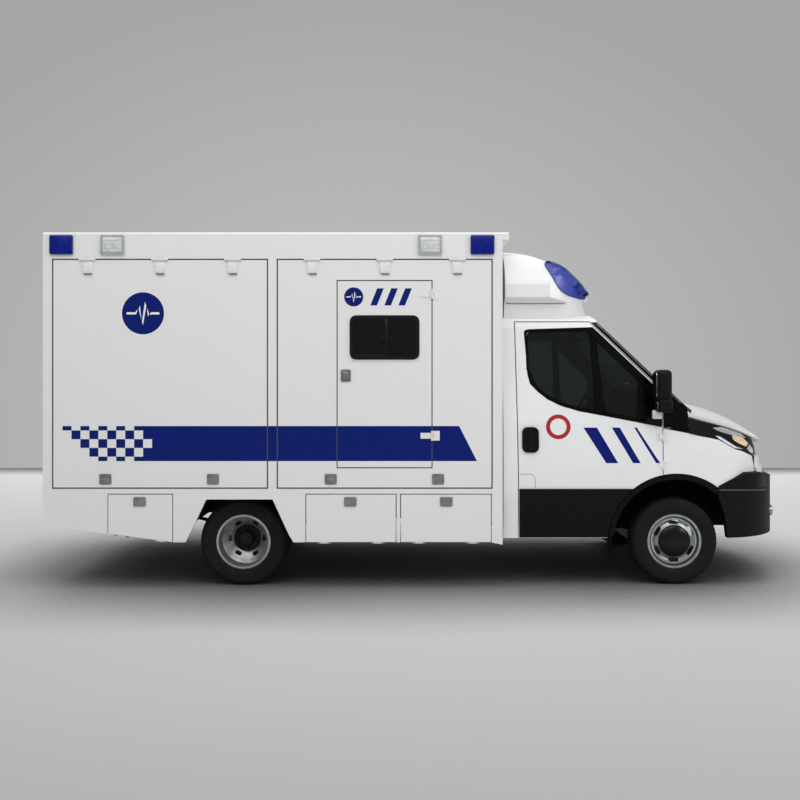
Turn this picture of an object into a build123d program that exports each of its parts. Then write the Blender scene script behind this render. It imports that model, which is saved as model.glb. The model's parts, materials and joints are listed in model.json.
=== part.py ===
from build123d import *
import math
import os

# Millimetres. X points forward, Y to the vehicle's left, Z up from the ground.
# The origin is on the ground under the middle of the overall length.

# Driving sizes
rear_overhang = 1552.0
wheelbase = 3450.0
front_overhang = 996.0
overall_height = 2798.0
box_width = 2200.0
tyre_radius = 345.0
tyre_width = 195.0
rim_radius = 203.0

# Places along the vehicle that follow from them
overall_length = rear_overhang + wheelbase + front_overhang
box_back = -overall_length / 2
rear_axle_x = box_back + rear_overhang
front_axle_x = rear_axle_x + wheelbase
cab_back = front_axle_x - 1376.0
cab_box_gap = 19.0
box_front = cab_back - cab_box_gap
box_side_y = box_width / 2

# Box body panels
wall = 60.0
roof_thickness = 60.0
roof_lip = 51.0
floor_top = 790.0
floor_thickness = 60.0
skirt_thickness = 30.0
skirt_top = 745.0
skirt_bottom = 364.0
skirt_nose_bottom = 345.0
skirt_tail_bottom = 500.0
roof_under = overall_height - roof_thickness
inner_side_y = box_side_y - wall

# Doors and flaps
gap = 7.0
door_gap = 8.0
flap_thickness = 50.0
flap_bottom = 794.0
flap_top = roof_under - 160.0
rear_post = 83.0
middle_post = 88.0
front_post = 88.0
lip_reach = 20.0
lip_clearance = 7.0
flap_length = (box_front - box_back - rear_post - middle_post - front_post) / 2
rear_flap_x = (box_back + rear_post, box_back + rear_post + flap_length)
front_flap_x = (box_front - front_post - flap_length, box_front - front_post)

# A still piece lies this far from its seat
seat_gap = 0.3

# Hinges
hinge_pin_radius = 5.0
hinge_running_gap = 0.06
hinge_barrel_radius = 9.0
hinge_rise = 11.0
hinge_leaf = 5.0
hinge_end_gap = 1.0
flap_strap_width = 86.0
flap_strap_reach = 118.0
flap_lug_length = 20.0
flap_hinge_places = (0.16, 0.5, 0.84)

# Personnel door in the right front flap
side_door_width = 736.0
side_door_front = 470.0
side_door_bottom = 953.0
side_door_top = flap_top - 165.0
side_door_thickness = 45.0
side_door_x = (front_flap_x[1] - side_door_front - side_door_width, front_flap_x[1] - side_door_front)
side_door_hinge_z = (1200.0, 2310.0)
window_front = 106.0
window_length = 524.0
window_bottom = 1808.0
window_top = 2132.0
window_corner = 45.0
window_clearance = 0.3
window_thickness = 14.0

# Rear doors
rear_recess = 24.0
rear_frame_depth = 60.0
rear_post_width = 84.0
rear_header_bottom = roof_under - 140.0
rear_door_thickness = 50.0
rear_door_hinge_z = (1050.0, 1690.0, 2330.0)

# Skirt lockers
locker_thickness = 25.0
locker_depth = 490.0
bin_wall = 4.0
locker_lift = 2.0
locker_pin_radius = 3.0
locker_barrel = 6.0
locker_tab = 60.0

# Chassis
rail_outside = 440.0
rail_flange = 70.0
rail_plate = 6.0
rail_bottom = 500.0
rail_top = 645.0
cross_bottom = 585.0
cross_width = 80.0
crossmember_count = 8
rail_x = (box_back + 110.0, front_axle_x + 690.0)
tow_hole_radius = 8.5

# Wheels
wheel_z = tyre_radius
front_wheel_y = 862.0
rear_inner_y = 650.0
rear_outer_y = 890.0
kingpin_inboard = 82.0
wheel_running_gap = 0.06
front_spindle_radius = 35.0
rear_spindle_radius = 45.0
rim_half = 82.0
knuckle_half = 105.0
kingpin_radius = 14.0
# Half the width of a wishbone's outer end, kept short of the steered wheel's hub
arm_nose = 20.0

# Cab
cab_wall = 45.0
cab_floor_top = 745.0
arch_radius = 548.0
liner_radius = 500.0
liner_thickness = 6.0
cab_floor_low = 700.0
cab_roof_top = 2175.0
wing_skin = 30.0
bonnet_edge = 25.0
bonnet_skin = 30.0
bumper_skin = 60.0
nose_seam = 6.0
tow_eye_y = -410.0
tow_eye_radius = 10.0
fairing_skin = 16.0

# The cab doors' hinges
cab_hinge_x = front_axle_x - 106.0
cab_hinge_y = -1012.0
cab_hinge_z = (960.0, 1190.0)
cab_hinge_radius = 7.0
cab_hinge_pin = 3.5
cab_hinge_half = 22.0

# The bonnet's hinges
bonnet_hinge_x = front_axle_x + 101.0
bonnet_hinge_z = 1432.0
bonnet_hinge_y = (-500.0, 500.0)
bonnet_hinge_radius = 9.0

# Seats and steering wheel
wheel_side_y = 420.0
seat_ys = (-430.0, 420.0)
seat_half = 250.0

# The cab's half width at a few heights, from the sill up to the cant rail: (z, half width)
CAB_HALF = [(378.0, 985.0), (771.0, 1003.0), (950.0, 1005.0), (1290.0, 990.0), (2060.0, 884.0), (2112.0, 872.0)]
# The roof that closes it: (z, half width)
CAB_ROOF = [(2135.0, 862.0), (2162.0, 790.0), (cab_roof_top, 620.0)]


def block(x0, x1, y0, y1, z0, z1):
    """A box between three pairs of limits."""
    return Pos((x0 + x1) / 2, (y0 + y1) / 2, (z0 + z1) / 2) * Box(abs(x1 - x0), abs(y1 - y0), abs(z1 - z0))


def side_prism(points, y0, y1):
    """An outline of (x, z) corners, carried from y0 to y1."""
    wire = Polyline([(x, y0, z) for x, z in points], close=True)
    return extrude(make_face(wire), amount=y1 - y0, dir=(0, 1, 0))


def plan_prism(points, z0, z1):
    """An outline of (x, y) corners, carried from z0 up to z1."""
    wire = Polyline([(x, y, z0) for x, y in points], close=True)
    return extrude(make_face(wire), amount=z1 - z0, dir=(0, 0, 1))


def cross_prism(points, x0, x1):
    """An outline of (y, z) corners, carried from x0 to x1."""
    wire = Polyline([(x0, y, z) for y, z in points], close=True)
    return extrude(make_face(wire), amount=x1 - x0, dir=(1, 0, 0))


def rod(start, end, radius):
    """A round bar between two points."""
    a, b = Vector(*start), Vector(*end)
    along = b - a
    return Plane(origin=a, z_dir=along) * Cylinder(
        radius, along.length, align=(Align.CENTER, Align.CENTER, Align.MIN)
    )


def disc_y(x, z, radius, y0, y1):
    return rod((x, min(y0, y1), z), (x, max(y0, y1), z), radius)


def turned(profile):
    """A closed outline of (radius, y) corners, turned about the Y axis."""
    wire = Polyline([(r, y, 0) for r, y in profile], close=True)
    return revolve(make_face(wire), axis=Axis.Y)


def mirrored(shape):
    return mirror(shape, about=Plane.XZ)


def both_sides(shape):
    return shape + mirrored(shape)


def hinge(origin, along, toward_frame, door_width, frame_reach, door_reach, lug):
    """The two halves of a strap hinge, built about its pin.

    origin is the pin's middle, along its axis, and toward_frame points from the pin to the fixed side.
    The third direction points away from the panel's face, which lies hinge_rise below the pin.
    """
    place = Plane(origin=origin, x_dir=toward_frame, z_dir=along)
    half = door_width / 2
    outer = half + hinge_end_gap + lug
    leaf_low, leaf_high = -hinge_rise, -hinge_rise + hinge_leaf
    fixed = Cylinder(hinge_pin_radius, 2 * outer)
    for side in (-1, 1):
        z_in = side * (half + hinge_end_gap)
        z_out = side * outer
        low, high = min(z_in, z_out), max(z_in, z_out)
        fixed += Pos(0, 0, (low + high) / 2) * Cylinder(hinge_barrel_radius, high - low)
        fixed += block(0, frame_reach, leaf_low, leaf_high, low, high)
        fixed += block(0, hinge_barrel_radius, leaf_low, 0, low, high)
    fixed += block(hinge_barrel_radius + 3, frame_reach, leaf_low, leaf_high, -outer, outer)
    moving = Cylinder(hinge_barrel_radius, door_width)
    moving += block(-hinge_barrel_radius, 0, leaf_low, 0, -half, half)
    moving += block(-door_reach, 0, leaf_low, leaf_high, -half, half)
    moving -= Cylinder(hinge_pin_radius + hinge_running_gap, door_width + 2)
    return place * fixed, place * moving


# Box sides. They are modelled on the right, where y is negative, and mirrored.

arch_x = (rear_axle_x - 433.0, rear_axle_x - 355.0, rear_axle_x - 271.0, rear_axle_x + 250.0,
          rear_axle_x + 380.0, rear_axle_x + 414.0)
arch_z = (skirt_bottom, 523.0, 700.0, 700.0, 419.0, skirt_bottom)
skirt_low_x = rear_axle_x - 543.0

# The skirt lockers' ends: (back x, front x)
LOCKERS = {
    "locker_rear": (rear_axle_x - 1038.0, rear_axle_x - 537.0),
    "locker_middle": (rear_axle_x + 515.0, box_front - 839.0),
    "locker_front": (box_front - 797.0, box_front - 92.0),
}


def skirt_low_z(x):
    """The height of the skirt's lower edge, which climbs towards the tail and dips at the nose."""
    if x < skirt_low_x:
        return skirt_bottom + (skirt_low_x - x) / (skirt_low_x - box_back) * (skirt_tail_bottom - skirt_bottom)
    return skirt_bottom


def side_outline():
    return [
        (box_back, skirt_tail_bottom), (skirt_low_x, skirt_bottom), *zip(arch_x, arch_z),
        (box_front - 92.0, skirt_bottom), (box_front, skirt_nose_bottom),
        (box_front, roof_under), (box_back, roof_under),
    ]


def make_side(with_lockers):
    """One side wall on the right, with its two flap openings, hinge leaves and skirt."""
    y_out = -box_side_y
    side = side_prism(side_outline(), y_out, y_out + wall)
    side -= block(box_back - 1, box_front + 1, y_out + skirt_thickness, 0, skirt_nose_bottom - 1, skirt_top)
    lip_y = y_out + flap_thickness + lip_clearance
    for x0, x1 in (rear_flap_x, front_flap_x):
        side -= block(x0 - gap, x1 + gap, y_out - 1, lip_y, flap_bottom - gap, flap_top + gap)
        side -= block(x0 + lip_reach, x1 - lip_reach, y_out - 1, y_out + wall + 1,
                      flap_bottom + lip_reach, flap_top - lip_reach)
        for share in flap_hinge_places:
            fixed, _ = hinge(
                (x0 + share * (x1 - x0), y_out - hinge_rise, flap_top + gap / 2), (1, 0, 0), (0, 0, 1),
                flap_strap_width, 26.0, flap_strap_reach, flap_lug_length)
            side += fixed
    if with_lockers:
        for x0, x1 in LOCKERS.values():
            side -= block(x0 - gap, x1 + gap, y_out - 1, y_out + skirt_thickness + 1, 0, skirt_top)
    return side


def make_flap(span, with_door):
    """A top-hinged flap of the right side, with a doorway where the personnel door sits."""
    x0, x1 = span
    y_out = -box_side_y
    flap = block(x0, x1, y_out, y_out + flap_thickness, flap_bottom, flap_top)
    for share in flap_hinge_places:
        _, moving = hinge(
            (x0 + share * (x1 - x0), y_out - hinge_rise, flap_top + gap / 2), (1, 0, 0), (0, 0, 1),
            flap_strap_width, 26.0, flap_strap_reach, flap_lug_length)
        flap += moving
    if with_door:
        door_x0, door_x1 = side_door_x
        flap -= block(door_x0 - door_gap, door_x1 + door_gap, y_out - 1, y_out + flap_thickness + 1,
                      side_door_bottom - door_gap, side_door_top + door_gap)
        for z in side_door_hinge_z:
            fixed, _ = side_door_hinge(z)
            flap += fixed
    return flap


def side_door_hinge(z):
    return hinge((side_door_x[1] + door_gap / 2, -box_side_y - hinge_rise, z), (0, 0, -1), (1, 0, 0),
                 46.0, 60.0, 90.0, 14.0)


def window_outline(clearance):
    x1 = side_door_x[1] - window_front + clearance
    x0 = x1 - window_length - 2 * clearance
    height = window_top - window_bottom + 2 * clearance
    face = RectangleRounded(x1 - x0, height, window_corner + clearance)
    return (x0 + x1) / 2, (window_bottom + window_top) / 2, face


def window_prism(clearance, y0, y1):
    x, z, face = window_outline(clearance)
    place = Plane(origin=(x, y1, z), x_dir=(1, 0, 0), z_dir=(0, -1, 0))
    return extrude(place * face, amount=y1 - y0)


def make_side_door():
    """The personnel door with its window cut, its raised window surround and its strap hinges."""
    x0, x1 = side_door_x
    y_out = -box_side_y
    door = block(x0, x1, y_out, y_out + side_door_thickness, side_door_bottom, side_door_top)
    door += window_prism(22.0, y_out - 8.0, y_out + 1.0)
    door -= window_prism(window_clearance, y_out - 9.0, y_out + side_door_thickness + 1)
    for z in side_door_hinge_z:
        _, moving = side_door_hinge(z)
        door += moving
    return door


def locker_frame(name):
    """The locker door's lower edge: its start, its end and its length along the skirt."""
    x0, x1 = LOCKERS[name]
    start = (x0, skirt_low_z(x0) + locker_lift)
    end = (x1, skirt_low_z(x1) + locker_lift)
    length = math.dist(start, end)
    along = Vector(end[0] - start[0], 0, end[1] - start[1])
    return start, end, length, along


def locker_axis_drop():
    return locker_barrel + 2.0


def locker_axis(name):
    """The pin line under a locker door, as a plane whose Z runs along the lower edge."""
    start, _, _, along = locker_frame(name)
    y_pin = -box_side_y + 12.0
    up = Vector(0, 1, 0).cross(along).normalized()
    if up.Z < 0:
        up = up * -1
    origin = Vector(start[0], y_pin, start[1]) - up * locker_axis_drop()
    return Plane(origin=origin, x_dir=up, z_dir=along)


def make_locker_door(name):
    """A bottom-hinged skirt locker door with its two hinge knuckles."""
    start, end, length, _ = locker_frame(name)
    y_out = -box_side_y
    outline = [start, end, (end[0], skirt_top - gap), (start[0], skirt_top - gap)]
    door = side_prism(outline, y_out, y_out + locker_thickness)
    place = locker_axis(name)
    for share in (0.2, 0.8):
        middle = share * length
        knuckle = Pos(0, 0, middle) * Cylinder(locker_barrel, locker_tab)
        knuckle += block(0, locker_axis_drop() + 4, -3, 3, middle - locker_tab / 2, middle + locker_tab / 2)
        knuckle -= Pos(0, 0, middle) * Cylinder(locker_pin_radius + hinge_running_gap, locker_tab + 2)
        door += place * knuckle
    return door


def make_locker_bin(name):
    """The open-fronted tray behind a locker door, with the fixed lugs and pins of its hinges."""
    start, end, length, _ = locker_frame(name)
    y_open = -box_side_y + skirt_thickness + 2.0
    y_back = y_open + locker_depth
    top = floor_top - floor_thickness
    outline = [start, end, (end[0], top), (start[0], top)]
    tray = side_prism(outline, y_open, y_back)
    inner = [
        (start[0] + bin_wall, start[1] + bin_wall), (end[0] - bin_wall, end[1] + bin_wall),
        (end[0] - bin_wall, top - bin_wall), (start[0] + bin_wall, top - bin_wall),
    ]
    tray -= side_prism(inner, y_open - 1, y_back - bin_wall)
    place = locker_axis(name)
    tab_end = 20.0
    # In the pin's own frame, +X is up and the tray's side is at positive or negative Y.
    inboard = 1 if place.y_dir.Y > 0 else -1
    for share in (0.2, 0.8):
        middle = share * length
        reach = locker_tab / 2 + hinge_end_gap + tab_end
        fixed = Pos(0, 0, middle) * Cylinder(locker_pin_radius, 2 * reach)
        for side in (-1, 1):
            lug_middle = middle + side * (locker_tab / 2 + hinge_end_gap + tab_end / 2)
            low, high = lug_middle - tab_end / 2, lug_middle + tab_end / 2
            fixed += Pos(0, 0, lug_middle) * Cylinder(locker_barrel, tab_end)
            fixed += block(-locker_barrel, locker_barrel - 1, 0, inboard * 34.0, low, high)
            fixed += block(-locker_barrel, locker_axis_drop() + 2, inboard * 22.0, inboard * 34.0, low, high)
        tray += place * fixed
    return tray


def make_rear_door():
    """The right-hand rear door, hinged at its outer edge, with a window near its top."""
    x_out = box_back + rear_recess
    edge = rear_opening_half() - door_gap
    door = block(x_out, x_out + rear_door_thickness, -edge, -door_gap / 2,
                 floor_top + door_gap, rear_header_bottom - door_gap)
    door -= rear_window(0.0, x_out - 1, x_out + rear_door_thickness + 1)
    for z in rear_door_hinge_z:
        _, moving = rear_door_hinge(z)
        door += moving
    return door


def rear_window(shrink, x0, x1):
    """The rounded window of the right rear door, from x0 to x1."""
    middle = -(rear_opening_half() - door_gap) / 2 - door_gap / 4
    face = RectangleRounded(480.0 - 2 * shrink, 520.0 - 2 * shrink, 50.0)
    place = Plane(origin=(x0, middle, 2080.0), x_dir=(0, 1, 0), z_dir=(1, 0, 0))
    return extrude(place * face, amount=x1 - x0)


def rear_opening_half():
    return inner_side_y - rear_post_width


def rear_door_hinge(z):
    return hinge((box_back + rear_recess - hinge_rise, -rear_opening_half() + door_gap / 2, z),
                 (0, 0, -1), (0, -1, 0), 60.0, 60.0, 100.0, 16.0)


def make_rear_frame():
    """The portal round the rear doors, carrying the fixed halves of their hinges."""
    x_out = box_back + rear_recess
    half = rear_opening_half()
    frame = block(x_out, x_out + rear_frame_depth, -inner_side_y, inner_side_y, 700.0, roof_under)
    frame -= block(x_out - 1, x_out + rear_door_thickness + lip_clearance, -half, half, floor_top, rear_header_bottom)
    frame -= block(x_out, x_out + rear_frame_depth + 1, -half + lip_reach, half - lip_reach,
                   floor_top + lip_reach, rear_header_bottom - lip_reach)
    for z in rear_door_hinge_z:
        fixed, _ = rear_door_hinge(z)
        frame += both_sides(fixed)
    return frame


def make_box_roof():
    """The roof panel, which overhangs the front wall as a lip."""
    roof = block(box_back, box_front + roof_lip, -box_side_y, box_side_y, roof_under, overall_height)
    edges = roof.edges().filter_by(Axis.X).group_by(Axis.Z)[-1]
    return fillet(edges, 18.0)


BEARERS = (box_back + 160.0, box_back + 560.0, box_back + 980.0, rear_axle_x + 500.0, rear_axle_x + 960.0,
           rear_axle_x + 1420.0, rear_axle_x + 1840.0)


def make_box_floor():
    """The load floor and the cross bearers that stand it on the chassis rails."""
    low = floor_top - floor_thickness
    floor = block(box_back + rear_recess + rear_frame_depth, box_front - wall, -inner_side_y, inner_side_y,
                  low, floor_top)
    for x in BEARERS:
        floor += block(x, x + 60.0, -555.0, 555.0, rail_top, low)
    return floor


def make_box_front_wall():
    return block(box_front - wall, box_front, -inner_side_y, inner_side_y, 660.0, roof_under)


# Chassis and running gear


def crossmember_x(number):
    """The rear face of a crossmember, counted from the tail."""
    return rail_x[0] + (rail_x[1] - rail_x[0] - cross_width) * number / (crossmember_count - 1)


def make_chassis():
    """Two C-section rails joined by crossmembers, with the rear underrun bar and its step."""
    x0, x1 = rail_x
    outer, inner = rail_outside, rail_outside - rail_flange
    rail = block(x0, x1, -outer, -inner, rail_bottom, rail_top)
    rail -= block(x0 - 1, x1 + 1, -outer + rail_plate, -inner + 1, rail_bottom + rail_plate, rail_top - rail_plate)
    frame = both_sides(rail)
    for number in range(crossmember_count):
        x = crossmember_x(number)
        frame += block(x, x + cross_width, -outer + rail_plate / 2, outer - rail_plate / 2,
                       cross_bottom, rail_top - rail_plate / 2)
    frame += block(x0, x0 + 12.0, -outer, outer, rail_bottom, rail_top)
    for y in (-70.0, 70.0):
        for z in (rail_bottom + 40.0, rail_bottom + 110.0):
            frame -= rod((x0 - 1, y, z), (x0 + 13, y, z), tow_hole_radius)
    bar_x = box_back + 36.0
    bar = block(bar_x, bar_x + 70.0, -980.0, 980.0, 512.0, 590.0)
    bar += block(bar_x - 30.0, bar_x + 70.0, -420.0, 420.0, 590.0, 600.0)
    frame += bar
    for y in (-rail_outside + 20, rail_outside - 20):
        frame += block(bar_x + 60.0, x0 + 20.0, y - 20, y + 20, 530.0, 580.0)
    return frame


def make_powertrain():
    """The engine and gearbox as plain blocks, joined at the bell housing."""
    block_x = front_axle_x + 70.0
    engine = block(block_x, block_x + 520.0, -270.0, 270.0, 420.0, 1080.0)
    gearbox = side_prism(
        [(block_x, 430.0), (block_x, 575.0), (block_x - 300.0, 565.0), (block_x - 720.0, 550.0),
         (block_x - 720.0, 450.0), (block_x - 300.0, 440.0)], -150.0, 150.0)
    for side in (-1, 1):
        foot = side * (rail_outside - rail_plate - seat_gap)
        engine += block(block_x + 220.0, block_x + 300.0, side * 260.0, foot, 530.0, 575.0)
    return engine + gearbox


def make_rear_axle():
    """The axle beam with its differential, leaf springs and propeller shaft."""
    x, z = rear_axle_x, wheel_z
    beam = rod((x, -575.0, z), (x, 575.0, z), 55.0)
    beam += rod((x, -795.0, z), (x, 795.0, z), rear_spindle_radius)
    casing = [(0, -170.0), (90.0, -150.0), (150.0, -70.0), (150.0, 70.0), (90.0, 150.0), (0, 170.0)]
    beam += Pos(x, 0, z) * turned(casing)
    tail = Vector(front_axle_x - 652.2, 0, 502.0)
    nose = Vector(x + 120.0, 0, z + 10.0)
    beam += rod(tuple(nose), tuple(tail), 34.0)
    beam += rod((x + 100, 0, z + 8.0), (x + 190, 0, z + 14.0), 62.0)
    spring_y = 495.0
    # The springs' leaves: (half length, drop below the main leaf)
    for half_length, drop in ((640.0, 0.0), (470.0, 14.0), (300.0, 28.0)):
        ends = z + 90.0 - drop
        middle = z + 62.0 - drop
        arc = ThreePointArc((x - half_length, 0, ends + spring_rise(half_length)), (x, 0, middle),
                            (x + half_length, 0, ends + spring_rise(half_length)))
        top = ThreePointArc((x + half_length, 0, ends + spring_rise(half_length) + 13.0), (x, 0, middle + 13.0),
                            (x - half_length, 0, ends + spring_rise(half_length) + 13.0))
        leaf = make_face([arc, Line(arc @ 1, top @ 0), top, Line(top @ 1, arc @ 0)])
        leaf = Pos(0, spring_y - 35.0, 0) * extrude(leaf, amount=70.0, dir=(0, 1, 0))
        beam += both_sides(leaf)
    for side in (-1, 1):
        for place in (x - 640.0, x + 640.0):
            eye_z = z + 97.0 + spring_rise(640.0)
            beam += rod((place, side * 440.3, eye_z), (place, side * 530.0, eye_z), 22.0)
        beam += block(x - 60, x + 60, side * 460.0, side * 530.0, z + 20.0, z + 64.0)
    return beam


def spring_rise(half_length):
    return 70.0 * (half_length / 640.0) ** 2


def make_front_suspension():
    """The front crossmember with an upper and a lower wishbone on each side, ending in kingpin stubs."""
    x, z = front_axle_x, wheel_z
    king_y = front_wheel_y - kingpin_inboard
    beam = block(x - 150, x + 150, -400.0, 400.0, z - 140.0, z - 60.0)
    post_half = knuckle_half
    side = block(x - 70, x + 70, -rail_outside + 2, -rail_outside + 50, z - 100.0, rail_bottom)
    arm = [(x - 150, -380.0), (x + 150, -380.0), (x + arm_nose, -king_y - 16), (x - arm_nose, -king_y - 16)]
    side += plan_prism(arm, z - post_half - 22.0, z - post_half - 2.0)
    upper = [(x - 120, -400.0), (x + 120, -400.0), (x + arm_nose, -king_y - 16), (x - arm_nose, -king_y - 16)]
    side += plan_prism(upper, z + post_half + 2.0, z + post_half + 22.0)
    side += rod((x, -king_y, z - post_half - 20.0), (x, -king_y, z - post_half + 38.0), kingpin_radius)
    side += rod((x, -king_y, z + post_half + 20.0), (x, -king_y, z + post_half - 38.0), kingpin_radius)
    return beam + both_sides(side)


def make_knuckle():
    """The right steering knuckle: kingpin post, steering arm and wheel spindle."""
    x, z = front_axle_x, wheel_z
    king_y = front_wheel_y - kingpin_inboard
    post = rod((x, -king_y, z - knuckle_half), (x, -king_y, z + knuckle_half), 27.0)
    post += rod((x, -king_y, z), (x, -front_wheel_y - 28.0, z), front_spindle_radius)
    post += rod((x, -king_y - 14.0, z), (x, -king_y - 28.0, z), 70.0)
    post += plan_prism([(x, -king_y - 20), (x - 130, -king_y + 6), (x - 130, -king_y + 34), (x, -king_y + 20)],
                       z - 70.0, z - 50.0)
    for end in (-1, 1):
        mouth = z + end * (knuckle_half + 1.0)
        post -= rod((x, -king_y, mouth), (x, -king_y, z + end * (knuckle_half - 40.0)),
                    kingpin_radius + wheel_running_gap)
    return post


def slots(count, radius, length, width, y0, y1, phase=0.0):
    """Rounded slots in a ring, each with its long side along the ring."""
    face = RectangleRounded(length, width, width / 2 - 0.5)
    cutters = []
    for number in range(count):
        turn = phase + 360.0 * number / count
        place = Rot(0, turn, 0) * Plane(origin=(radius, y0, 0), x_dir=(0, 0, -1), z_dir=(0, 1, 0)).location
        cutters.append(place * extrude(face, amount=y1 - y0))
    return cutters


def rim_barrel(half_width):
    """The rim's outer barrel with its two flanges, as a closed outline of (radius, y) corners."""
    r, flange = rim_radius, rim_radius + 15.0
    inside = r - 6.0
    return [
        (inside, -half_width), (flange, -half_width), (flange, -half_width + 7.0), (r, -half_width + 7.0),
        (r, half_width - 7.0), (flange, half_width - 7.0), (flange, half_width), (inside, half_width),
    ]


def make_front_rim():
    """The front wheel with its slotted disc, hub cap and brake disc. +Y is outboard."""
    rim = turned(rim_barrel(rim_half))
    disc = [(rim_radius - 3.0, 28.0), (rim_radius - 3.0, 40.0), (184.0, 62.0), (170.0, 62.0), (150.0, 54.0),
            (128.0, 66.0), (120.0, 66.0), (120.0, 56.0), (150.0, 45.0), (172.0, 53.0), (182.0, 50.0)]
    rim += turned(disc)
    hub = [(front_spindle_radius + wheel_running_gap, -48.0), (150.0, -48.0), (150.0, -28.0), (62.0, -28.0),
           (62.0, 52.0), (126.0, 52.0), (126.0, 78.0), (112.0, 90.0), (70.0, 98.0), (0.0, 100.0), (0.0, 34.0),
           (front_spindle_radius + wheel_running_gap, 34.0)]
    rim += turned(hub)
    for cutter in slots(6, 151.0, 82.0, 34.0, 30.0, 80.0, 30.0):
        rim -= cutter
    return rim


def make_rear_rim():
    """A pair of dished twin rims on one hub, with the brake drum. y is measured from the hub's middle."""
    spread = (rear_outer_y - rear_inner_y) / 2
    rim = None
    for side in (-1, 1):
        barrel = Pos(0, side * spread, 0) * turned(rim_barrel(rim_half))
        disc = [(rim_radius - 3.0, 58.0), (rim_radius - 3.0, 72.0), (165.0, 46.0), (112.0, 12.0), (60.0, 12.0),
                (60.0, 0.0), (112.0, 0.0), (168.0, 34.0)]
        disc = turned([(r, side * y) for r, y in disc])
        for cutter in slots(6, 140.0, 56.0, 30.0, side * 100.0 if side < 0 else 0.0, 0.0 if side < 0 else 100.0):
            disc -= cutter
        rim = barrel + disc if rim is None else rim + barrel + disc
    bore = rear_spindle_radius + wheel_running_gap
    hub = [(bore, -185.0), (160.0, -185.0), (160.0, -75.0), (80.0, -75.0), (80.0, 14.0), (57.0, 14.0),
           (57.0, 62.0), (48.0, 70.0), (0.0, 72.0), (0.0, 30.0), (bore, 30.0)]
    return rim + turned(hub)


def make_tyre():
    """A tyre with crowned tread and rounded shoulders. +Y is outboard."""
    seat, flange, half = rim_radius, rim_radius + 15.3, tyre_width / 2
    top = tyre_radius
    side = [(seat, rim_half - 7.3), (flange, rim_half - 7.3), (flange, rim_half + 2.0), (250.0, half - 4.0),
            (282.0, half), (top - 25.0, half - 5.0), (top - 7.0, half - 18.0), (top, half - 42.0)]
    return turned(side + [(r, -y) for r, y in reversed(side)])


# Cab


def cab_x(offset):
    """A place along the cab, given from the front axle."""
    return front_axle_x + offset


def cab_line(points):
    return [(cab_x(x), z) for x, z in points]


def side_skin(depth0, depth1, x0, x1):
    """The right side's skin between two depths below its outer surface."""
    outer = [(-(half - depth0), z) for z, half in CAB_HALF]
    inner = [(-(half - depth1), z) for z, half in reversed(CAB_HALF)]
    return cross_prism(outer + inner, x0, x1)


def arch_cut(radius, y0, y1):
    return disc_y(front_axle_x, wheel_z, radius, y0, y1)


# The door's outline from its lower rear corner: (x from the front axle, z). The wheel arch cuts its lower front.
DOOR = [(-1248.0, 378.0), (-110.0, 378.0), (-110.0, 1253.0), (-110.0, 1552.0), (-670.0, 2104.0), (-1270.0, 2104.0)]
# The same outline grown by the shut gap
DOOR_OPENING = [(-1256.0, 370.0), (-102.0, 370.0), (-102.0, 1253.0), (-102.0, 1556.0), (-667.0, 2112.0),
                (-1278.0, 2112.0)]


def door_window(grow):
    """The door's window outline, with its long swept lower rear corner."""
    a = (cab_x(-1190.0 - grow), 1985.0)
    b = (cab_x(-1150.0 - grow), 2040.0 + grow)
    c = (cab_x(-694.0 + grow), 2052.0 + grow)
    d = (cab_x(-158.0 + grow), 1526.0 + grow)
    e = (cab_x(-158.0 + grow), 1288.0 - grow)
    f = (cab_x(-545.0), 1356.0 - grow)
    g = (cab_x(-800.0), 1402.0 - grow)
    h = (cab_x(-1185.0 - grow), 1720.0)
    sweep = (cab_x(-1045.0 - 0.7 * grow), 1508.0 - 0.7 * grow)

    def at(p):
        return (p[0], 0, p[1])

    edges = [Line(at(a), at(b)), Line(at(b), at(c)), Line(at(c), at(d)), Line(at(d), at(e)), Line(at(e), at(f)),
             Line(at(f), at(g)), ThreePointArc(at(g), at(sweep), at(h)), Line(at(h), at(a))]
    return Pos(0, -1100.0, 0) * extrude(make_face(edges), amount=400.0, dir=(0, 1, 0))


def make_cab_door():
    """The right cab door: skin, window frame and arch cut, with the moving hinge knuckles."""
    x0, x1 = cab_x(-1300.0), cab_x(0.0)
    door = side_skin(0.0, cab_wall, x0, x1) & side_prism(cab_line(DOOR), -1100.0, -700.0)
    door -= arch_cut(arch_radius, -1100.0, -700.0)
    door -= door_window(0.0)
    for z in cab_hinge_z:
        _, moving = cab_hinge(z)
        door += moving
    return door


def cab_hinge(z):
    """Both halves of a door hinge: a fixed lug pair with its pin, and the door's middle knuckle."""
    x, y = cab_hinge_x, cab_hinge_y
    half = cab_hinge_half
    fixed = rod((x, y, z - half - 16), (x, y, z + half + 16), cab_hinge_pin)
    for side in (-1, 1):
        z0, z1 = z + side * (half + 1), z + side * (half + 16)
        fixed += rod((x, y, min(z0, z1)), (x, y, max(z0, z1)), cab_hinge_radius)
        fixed += block(x, x + 30, y - 1.0, y + 24, min(z0, z1), max(z0, z1))
    moving = rod((x, y, z - half), (x, y, z + half), cab_hinge_radius)
    moving += block(x - 30, x, y - 1.0, y + 24, z - half, z + half)
    moving -= rod((x, y, z - half - 2), (x, y, z + half + 2), cab_hinge_pin + hinge_running_gap)
    return fixed, moving


def make_cab_door_glass():
    """The door glass, set in the window frame."""
    return side_skin(10.0, 15.0, cab_x(-1300.0), cab_x(0.0)) & door_window(-1.0)


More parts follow.
